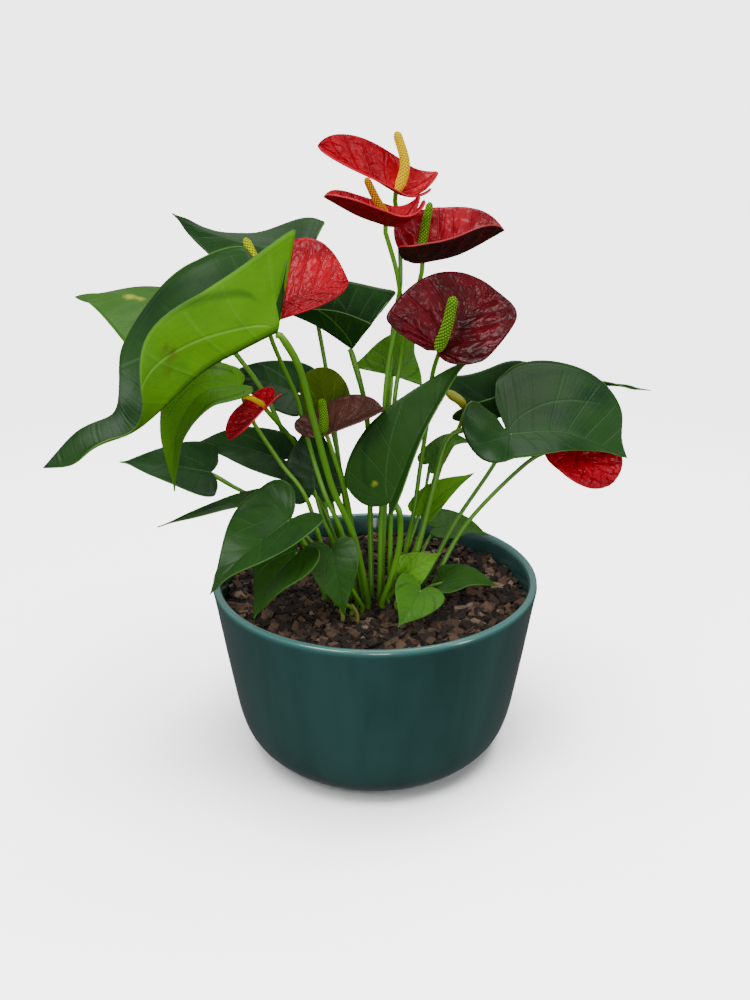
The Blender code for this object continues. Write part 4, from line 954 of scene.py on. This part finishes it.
# How bright each leaf is above and below and how olive, from 0 to 1: partly each leaf's own colour, partly painted
# light and shade, darker for leaves in shade and brighter for leaves with light through them
leafToneAndShade = {
    "leaf_hooded_left": (0.08, 0.95, 0.0), "leaf_back_left": (0.38, 0.5, 0.0), "leaf_back_top": (0.08, 0.5, 0.0),
    "leaf_folded_middle": (0.05, 0.05, 0.0), "leaf_behind_stems": (0.60, 0.60, 0.1),
    "leaf_drooping_left": (1.00, 1.00, 0.10), "leaf_shaded_left": (0.05, 0.2, 0.0),
    "leaf_round_olive": (0.60, 0.60, 1.0), "leaf_left_outer": (0.04, 0.2, 0.0), "leaf_left_inner": (0.06, 0.2, 0.0),
    "leaf_upright_left": (0.03, 0.2, 0.0), "leaf_edge_on_left": (0.15, 0.2, 0.0),
    "leaf_front_left": (0.13, 0.4, 0.0), "leaf_front_low": (0.20, 0.4, 0.0), "leaf_front_middle": (0.17, 0.4, 0.0),
    "leaf_arrow_centre": (0.16, 0.3, 0.0), "leaf_broad_right": (0.07, 0.2, 0.0),
    "leaf_back_right": (0.05, 0.1, 0.0), "leaf_small_back_right": (0.40, 0.4, 0.0),
    "leaf_young_upright": (1.00, 0.9, 0.2), "leaf_small_right": (0.35, 0.4, 0.0), "leaf_young_front": (1.0, 0.9, 0.2),
    "leaf_low_front_right": (0.50, 0.5, 0.0), "leaf_low_right": (0.20, 0.3, 0.0),
}
outlines = {
    "round": roundOutline, "hooded": hoodedOutline, "pointed": pointedOutline,
    "broad": (fullOutline, lobedOutline), "backed": (squaredOutline, pointedOutline),
    "cornered": corneredOutline, "slender": slenderOutline,
}
# Brown or pale marks: a centre in millimetres and a radius
leafMarks = {
    "leaf_hooded_left": [("spot", (-109, -86, 286), 1.8), ("spot", (-105, -85, 283), 2.2),
                         ("spot", (-107, -85, 275), 1.6), ("spot", (-112, -87, 283), 1.3)],
    "leaf_back_left": [("paleSpot", (-156, 48, 290), 3.0), ("paleSpot", (-149, 47, 289), 2.0)],
    "leaf_arrow_centre": [("paleSpot", (1, -28, 192), 1.2)],
}


def markLeaf(thing, name):
    places = np.array([vertex.co for vertex in thing.data.vertices]) / mm
    for kind in ("spot", "paleSpot"):
        level = np.zeros(len(places))
        for mark, centre, radius in leafMarks.get(name, []):
            if mark == kind:
                distance = np.linalg.norm(places - np.array(centre), axis=1)
                level = np.maximum(level, np.clip(1.6 - distance / radius, 0, 1))
        setAttribute(thing, kind, level)


def buildLeaf(name, plan, foot, number):
    look = {**leafLook, "phase": number * 0.37}
    thing, blade = bladeObject(name + "_blade", plan, outlines[plan.get("outline", "pointed")], look)
    markLeaf(thing, name)
    above, below, olive = leafToneAndShade[name]
    setAttribute(thing, "tone", above)
    setAttribute(thing, "lowTone", below)
    setAttribute(thing, "olive", olive)
    base, up, _ = blade.frame(0, 0)
    ahead = unit(blade.tangents[0])
    under = up * plan["radius"] * stemRules["taper"]
    end = [base - under, base + ahead * leafLook["rootReach"] - under * 0.8]
    # the petiole is paler with its leaf's upper tone, painted light and shade included
    stem = stemObject(name + "_petiole", stemWay(foot, plan, end), plan["radius"], 0.18, above * 0.4, stemGreen)
    placed(joined(name[5:] + "_leaf", [thing, stem]), name, "leaf_green")


# Spadix: florets in a spiral on a tapering core
spadixLook = {
    "neck": 3.0, "florets": 260, "turn": math.tau * 0.381966, "points": 24, "core": 0.86, "sides": 12,
    "bead": 0.52, "stand": 0.55,
}


def spadixTree():
    sizes = {"Radius": "Float", "Florets": "Int", "Bead radius": "Float", "Material": "Material"}
    tree, kit, given = geometryTree("spadix", sizes)

    def girth(share):
        tip = kit.maths("MAXIMUM", (share - 0.9) / 0.1, 0.0)
        close = kit.maths("SQRT", kit.maths("MAXIMUM", 1.0 - tip * tip, 0.0))
        foot = kit.maths("MINIMUM", share * 3.0 + 0.5, 1.0)
        return foot * (1.0 - share * 0.25) * close

    rise = kit.make("GeometryNodeSplineParameter")
    ring = kit.make("GeometryNodeCurvePrimitiveCircle", None, {"Resolution": spadixLook["sides"], "Radius": 1.0})
    core = kit.make("GeometryNodeCurveToMesh", None, {
        "Curve": given["Geometry"], "Profile Curve": ring, "Fill Caps": True,
        "Scale": girth(rise) * given["Radius"] * spadixLook["core"]})
    dots = kit.make("GeometryNodePoints", None, {"Count": given["Florets"]})
    number = kit.make("GeometryNodeInputIndex")
    share = (number + 0.5) / given["Florets"]
    sampled = kit.make("GeometryNodeSampleCurve", {"mode": "FACTOR"},
                       {"Curves": given["Geometry"], "Factor": share * 0.985 + 0.01}).socket.node
    place, ahead, side = (Wire(kit, sampled.outputs[label]) for label in ("Position", "Tangent", "Normal"))
    across = kit.vector("CROSS_PRODUCT", ahead, side)
    angle = number * spadixLook["turn"]
    outward = kit.vector("ADD", kit.make("ShaderNodeVectorMath", {"operation": "SCALE"},
                                         {0: side, "Scale": kit.maths("COSINE", angle)}),
                         kit.make("ShaderNodeVectorMath", {"operation": "SCALE"},
                                  {0: across, "Scale": kit.maths("SINE", angle)}))
    tip = kit.ease(share, 0.9, 1.0)
    facing = kit.vector("ADD", outward, kit.make("ShaderNodeVectorMath", {"operation": "SCALE"},
                                                 {0: ahead, "Scale": tip * 2.5}))
    offset = kit.make("ShaderNodeVectorMath", {"operation": "SCALE"},
                      {0: outward, "Scale": girth(share) * given["Radius"] * 0.92})
    spread = kit.make("GeometryNodeSetPosition", None,
                      {"Geometry": dots, "Position": kit.vector("ADD", place, offset)})
    bead = kit.make("GeometryNodeMeshUVSphere", None, {"Segments": 8, "Rings": 6, "Radius": 1.0})
    height = kit.split(kit.make("GeometryNodeInputPosition"))[2]
    bead = kit.make("GeometryNodeStoreNamedAttribute", {"data_type": "FLOAT"},
                    {"Geometry": bead, "Name": "bead", "Value": height})
    turned = kit.make("FunctionNodeAlignRotationToVector", {"axis": "Z"}, {"Vector": facing})
    size = given["Bead radius"] * (1.0 - share * 0.22)
    beads = kit.make("GeometryNodeInstanceOnPoints", None, {
        "Points": spread, "Instance": bead, "Rotation": turned,
        "Scale": kit.join(size, size, size * spadixLook["stand"])})
    both = kit.make("GeometryNodeJoinGeometry").socket.node
    kit.plug(both, "Geometry", beads)
    kit.plug(both, "Geometry", core)
    endTree(kit, Wire(kit, both.outputs[0]), given["Material"])
    return tree


spadixNodes = spadixTree()
spadixMaterials = {name: spadixMaterial(name + "Florets", look) for name, look in spadixFinish.items()}
spadixTones = {"flower_left": "yellowGreen"}
spatheMaterials = {
    name: (spatheSide(name + "SpatheUpper", look, True), spatheSide(name + "SpatheUnder", look, False),
           edgeMaterial(name + "SpatheEdge", look["upper"]))
    for name, look in spatheFinish.items()
}
spatheLook = {
    "thick": 0.9, "veins": spatheVeins, "quilt": 0.45, "groove": 0.2, "wave": 0.8, "waves": 2.0, "pucker": 0.9,
    "puckerScale": 0.16,
}
# Where a spathe's finish differs from its colour's
spatheChoice = {"flower_cupped": "darkUnder"}


def buildFlower(name, plan, foot, number):
    finish = spatheChoice.get(name, plan["colour"])
    look = {**spatheLook, "phase": number * 0.29, "surfaces": spatheMaterials[finish]}
    spathe, blade = bladeObject(name + "_spathe_waxy", plan, outlines["round"], look)
    placed(spathe, name + "_spathe", "spathe_" + plan["colour"])
    base, up, _ = blade.frame(0, 0)
    end = [base - up * 2, base - up * 0.3]
    stem = stemObject(name + "_stalk", stemWay(foot, plan, end), stemRules["peduncle"], 0.0, 0.1, stemGreen)
    placed(stem, name + "_peduncle", "stem_green")
    start = base + up * 0.4
    way, length = smoothCurve([start, start + up * spadixLook["neck"], *plan["spadix"]], spadixLook["points"])
    radius = plan["spadixRadius"]
    pitch = math.sqrt(math.tau * radius * 0.86 * length / spadixLook["florets"])
    sizes = {"Radius": radius * mm, "Florets": spadixLook["florets"],
             "Bead radius": pitch * spadixLook["bead"] * mm, "Material": spadixMaterials[spadixTones.get(name, plan["spadixColour"])]}
    spadix = grown(lineObject(name + "_spadix_florets", way), spadixNodes, sizes)
    spadix.data.shade_smooth()
    placed(spadix, name + "_spadix", "spadix_" + plan["spadixColour"])


plans = {**leafPlans, **flowerPlans, "bud": {"stem": budStem}}
feet = crownFeet(plans)
for number, (name, plan) in enumerate(leafPlans.items()):
    buildLeaf(name, plan, feet[name], number)
print("leaves made")
for number, (name, plan) in enumerate(flowerPlans.items()):
    buildFlower(name, plan, feet[name], number)
print("flowers made")

# The furled bud and the dry sheaths
smallFinish = {"bud": (paint(0.360, 0.360, 0.012), 0.4), "sheath": (paint(0.230, 0.260, 0.040), 0.6)}
budMaterial = plainMaterial("budSkin", *smallFinish["bud"])
sheathMaterial = plainMaterial("drySheath", *smallFinish["sheath"])
budLook = {"radii": (1.2, 1.2, 1.4, 2.9, 3.0, 0.6)}


def buildBud():
    stalk = stemObject("bud_stalk", stemWay(feet["bud"], {"stem": budStem}, [budWay[0]]), 1.4, 0.0, 0.4, stemGreen)
    way, _ = smoothCurve(budWay, 20)
    body = bmesh.new()
    rings = []
    for step, point in enumerate(way):
        share = step / (len(way) - 1)
        radius = np.interp(share * (len(budLook["radii"]) - 1), range(len(budLook["radii"])), budLook["radii"])
        ahead = Vector(way[min(step + 1, len(way) - 1)] - way[max(step - 1, 0)]).normalized()
        turn = Vector((0, 0, 1)).rotation_difference(ahead)
        ring = []
        for side in range(14):
            angle = side / 14 * math.tau + share * 2.4
            furl = radius * (1 + 0.16 * math.cos(angle * 1.0 - share * 2.4))
            ring.append(body.verts.new((Vector(point) + turn @ Vector((math.cos(angle), math.sin(angle), 0)) * furl) * mm))
        rings.append(ring)
    for low, high in zip(rings, rings[1:]):
        for side in range(14):
            body.faces.new((low[side], low[side - 1], high[side - 1], high[side])).smooth = True
    body.faces.new(rings[0])
    body.faces.new(list(reversed(rings[-1])))
    bmesh.ops.recalc_face_normals(body, faces=body.faces)
    mesh = bpy.data.meshes.new("bud_body")
    body.to_mesh(mesh)
    body.free()
    mesh.materials.append(budMaterial)
    made = bpy.data.objects.new("bud_body", mesh)
    bpy.context.scene.collection.objects.link(made)
    placed(joined("furled_bud", [made, stalk]), "flower_bud", "bud_green")


buildBud()
for name, plan in sheathPlans.items():
    foot = plan["way"][0]
    way, _ = smoothCurve([(foot[0], foot[1], stemRules["soilTop"] - 8), *plan["way"]], 16)
    placed(stemObject(name + "_husk", way, plan["radius"] * 0.85, 0.0, 0.0, sheathMaterial), name, "sheath_dry")
print("bud and sheaths made")


# Pot: its side from the base to the rim, turned around the Z axis
potLook = {
    "foot": (66.0, 0.0), "side": ((66, 0), (73, 3), (80, 8), (87, 17), (91.5, 30), (95, 50), (99, 76), (103, 104),
                                  (105, 116.5)),
    "lip": ((105, 116.5), (104.6, 118.9), (102.8, 120), (100.6, 119.2), (99.4, 117)),
    "wall": 6.0, "steps": 160, "floor": 6.0,
}


def turned(name, profile, steps, material):
    mesh = bpy.data.meshes.new(name)
    mesh.from_pydata([(radius * mm, 0, height * mm) for radius, height in profile],
                     [(i, i + 1) for i in range(len(profile) - 1)], [])
    mesh.materials.append(material)
    thing = bpy.data.objects.new(name, mesh)
    bpy.context.scene.collection.objects.link(thing)
    screw = thing.modifiers.new("turn", "SCREW")
    screw.steps = steps
    screw.render_steps = steps
    screw.use_merge_vertices = True
    screw.merge_threshold = 1e-5
    screw.use_normal_calculate = True
    made = plainMesh(thing)
    made.data.shade_smooth()
    return made


def flatCurve(points, count):
    curve, _ = smoothCurve([(radius, height, 0) for radius, height in points], count)
    return [(float(point[0]), float(point[1])) for point in curve]


def buildPot():
    side = flatCurve(potLook["side"], 40)
    lip = flatCurve(potLook["lip"], 16)
    inside = [(radius - potLook["wall"], height) for radius, height in reversed(side[:-3])
              if height > potLook["floor"] + 1]
    profile = [(0, 0), *side, *lip[1:], *inside, (potLook["foot"][0] - 4, potLook["floor"]), (0, potLook["floor"])]
    pot = turned("glazed_pot", profile, potLook["steps"], glazeMaterial())
    pot.data.set_sharp_from_angle(angle=math.radians(50))
    placed(pot, "pot", "glaze_teal")


# Soil: a rough bed with bark chips strewn over it
soilLook = {
    "radius": 96.6, "rings": 40, "steps": 96, "depth": 30.0, "bump": 1.6, "bumpScale": 0.11,
    "density": 95000.0, "spacing": 0.0021, "seed": 7,
}


def chipTree():
    sizes = {"Density": "Float", "Spacing": "Float", "Seed": "Int", "Material": "Material"}
    tree, kit, given = geometryTree("barkChips", sizes)
    normal = kit.make("GeometryNodeInputNormal")
    level = kit.split(normal)[2]
    top = kit.make("FunctionNodeCompare", {"data_type": "FLOAT", "operation": "GREATER_THAN"}, {0: level, 1: 0.5})
    strewn = kit.make("GeometryNodeDistributePointsOnFaces", {"distribute_method": "POISSON"}, {
        "Mesh": given["Geometry"], "Selection": top, "Distance Min": given["Spacing"],
        "Density Max": given["Density"], "Seed": given["Seed"]})

    def draw(low, high, step, kind="FLOAT"):
        output = {"FLOAT": 1, "FLOAT_VECTOR": 0}[kind]
        first = {"FLOAT": 2, "FLOAT_VECTOR": 0}[kind]
        return kit.make("FunctionNodeRandomValue", {"data_type": kind},
                        {first: low, first + 1: high, "Seed": given["Seed"] + float(step)}, output)

    chip = kit.make("GeometryNodeMeshCube", None, {"Size": (2.0, 2.0, 2.0), "Vertices X": 3, "Vertices Y": 3,
                                                   "Vertices Z": 3})
    length = draw(0.0016, 0.0048, 1) * draw(0.6, 1.0, 2)
    size = kit.join(length, length * draw(0.45, 0.85, 3), length * draw(0.22, 0.5, 4))
    turn = kit.make("FunctionNodeEulerToRotation", None, {0: draw((-0.6, -0.6, 0.0), (0.6, 0.6, 6.28), 5,
                                                                  "FLOAT_VECTOR")})
    chips = kit.make("GeometryNodeInstanceOnPoints", None, {"Points": strewn, "Instance": chip, "Rotation": turn,
                                                            "Scale": size})
    lifted = kit.make("GeometryNodeTranslateInstances", None, {
        "Instances": chips, "Translation": kit.join(0.0, 0.0, draw(-0.0004, 0.0016, 6)), "Local Space": False})
    drawn = kit.make("GeometryNodeStoreNamedAttribute", {"data_type": "FLOAT", "domain": "INSTANCE"},
                     {"Geometry": lifted, "Name": "draw", "Value": draw(0.0, 1.0, 7)})
    loose = kit.make("GeometryNodeRealizeInstances", None, {"Geometry": drawn})
    place = kit.make("GeometryNodeInputPosition")
    shake = kit.vector("SUBTRACT", kit.noise(place, 260.0, 2.0, output=1), (0.5, 0.5, 0.5))
    broken = kit.make("GeometryNodeSetPosition", None, {
        "Geometry": loose, "Offset": kit.vector("MULTIPLY", shake, (0.0042, 0.0042, 0.0030))})
    both = kit.make("GeometryNodeJoinGeometry").socket.node
    kit.plug(both, "Geometry", given["Geometry"])
    kit.plug(both, "Geometry", broken)
    endTree(kit, Wire(kit, both.outputs[0]), given["Material"])
    return tree


def buildSoil():
    rings, steps = soilLook["rings"], soilLook["steps"]
    work = bmesh.new()
    bmesh.ops.create_circle(work, cap_ends=False, segments=steps, radius=soilLook["radius"] * mm)
    edges = work.edges[:]
    bottom = [vertex for vertex in work.verts]
    for ring in range(rings - 1, 0, -1):
        made = bmesh.ops.extrude_edge_only(work, edges=edges)
        edges = [item for item in made["geom"] if isinstance(item, bmesh.types.BMEdge)]
        scale = ring / (ring + 1)
        for vertex in {vertex for edge in edges for vertex in edge.verts}:
            vertex.co *= scale
    middle = work.verts.new((0, 0, 0))
    for edge in edges:
        work.faces.new((*edge.verts, middle))
    rim = [edge for edge in work.edges if all(vertex in bottom for vertex in edge.verts)]
    skirt = bmesh.ops.extrude_edge_only(work, edges=rim)
    low = [item for item in skirt["geom"] if isinstance(item, bmesh.types.BMVert)]
    for vertex in work.verts:
        lumps = noise.noise(vertex.co / mm * soilLook["bumpScale"])
        vertex.co.z = (stemRules["soilTop"] - 0.8 + lumps * soilLook["bump"]) * mm
    for vertex in low:
        vertex.co.z = (stemRules["soilTop"] - soilLook["depth"]) * mm
        vertex.co.x *= 0.93
        vertex.co.y *= 0.93
    bmesh.ops.holes_fill(work, edges=[edge for edge in work.edges if edge.is_boundary], sides=0)
    bmesh.ops.recalc_face_normals(work, faces=work.faces)
    mesh = bpy.data.meshes.new("bark_soil")
    work.to_mesh(mesh)
    work.free()
    thing = bpy.data.objects.new("bark_soil", mesh)
    bpy.context.scene.collection.objects.link(thing)
    bark = barkMaterial()
    mesh.materials.append(bark)
    made = grown(thing, chipTree(), {"Density": soilLook["density"], "Spacing": soilLook["spacing"],
                                     "Seed": soilLook["seed"], "Material": bark})
    placed(made, "soil", "soil_bark")


buildPot()
buildSoil()
print("pot and soil made")


# Floor, light and camera
studio = {
    "floor": paint(0.80, 0.80, 0.80), "floorRadius": 6.0, "fade": (0.5, 1.6),
    "backdrop": 3.8, "air": (0.10, 0.55), "horizon": (-0.35, 0.45), "floorLight": ((0.0, -0.1, 2.4), 2.0, 330.0),
    "camera": (0.0, -0.593, 0.399), "tilt": 68.9, "lens": 36.0,
    "lights": (
        ("key", (-0.9, -1.1, 1.7), (0.9, 0.9), 26.0),
        ("fill", (1.5, -0.9, 0.7), (0.35, 1.3), 10.0),
        ("front", (0.1, -2.2, 0.5), (0.5, 1.0), 12.0),
        ("top", (0.2, 0.4, 1.8), (1.2, 1.0), 13.0),
    ),
}


def buildFloor():
    bpy.ops.mesh.primitive_circle_add(vertices=96, radius=studio["floorRadius"], fill_type="NGON")
    floor = bpy.context.object
    floor.name = "studioFloor"
    material, kit, shader = newMaterial("paleFloor", {"Roughness": 0.9, "Specular IOR Level": 0.2})
    place = kit.objectPlace()
    x, y, z = kit.split(place)
    reach = kit.maths("SQRT", x * x + y * y)
    kit.plug(shader, "Base Color", studio["floor"])
    kit.plug(shader, "Alpha", kit.ease(reach, *studio["fade"], 1.0, 0.0))
    floor.data.materials.append(material)
    floor.visible_diffuse = False
    floor.visible_glossy = False
    return floor


def buildAir():
    # Bright behind the object, and dimmer, from the floor up, where it lights and mirrors in it
    world = bpy.data.worlds.new("studioAir")
    bpy.context.scene.world = world
    world.use_nodes = True
    kit = Kit(world.node_tree)
    seen = kit.make("ShaderNodeLightPath", output="Is Camera Ray")
    level = kit.ease(kit.split(kit.objectPlace())[2], *studio["horizon"], *studio["air"])
    strength = seen * studio["backdrop"] + (1.0 - seen) * level
    kit.plug(world.node_tree.nodes["Background"], "Color", paint(1.0, 1.0, 1.0))
    kit.plug(world.node_tree.nodes["Background"], "Strength", strength)


def addLamp(name, place, size, power):
    lamp = bpy.data.lights.new(name, "AREA")
    lamp.shape = "RECTANGLE"
    lamp.size, lamp.size_y = size
    lamp.energy = power
    holder = bpy.data.objects.new(name, lamp)
    holder.location = place
    aim = Vector((0, 0, 0.2)) - Vector(place)
    holder.rotation_euler = aim.to_track_quat("-Z", "Y").to_euler()
    bpy.context.scene.collection.objects.link(holder)
    return holder


def buildStudio(floor):
    buildAir()
    for name, place, size, power in studio["lights"]:
        addLamp(name, place, size, power)
    place, size, power = studio["floorLight"]
    floorLamp = addLamp("floorLight", place, (size, size), power)
    lit = bpy.data.collections.new("litFloor")
    lit.objects.link(floor)
    floorLamp.light_linking.receiver_collection = lit
    camera = bpy.data.cameras.new("photoCamera")
    camera.lens = studio["lens"]
    camera.sensor_width = 36.0
    holder = bpy.data.objects.new("photoCamera", camera)
    holder.location = studio["camera"]
    holder.rotation_euler = (math.radians(studio["tilt"]), 0, 0)
    bpy.context.scene.collection.objects.link(holder)
    bpy.context.scene.camera = holder


buildStudio(buildFloor())

print("finished")
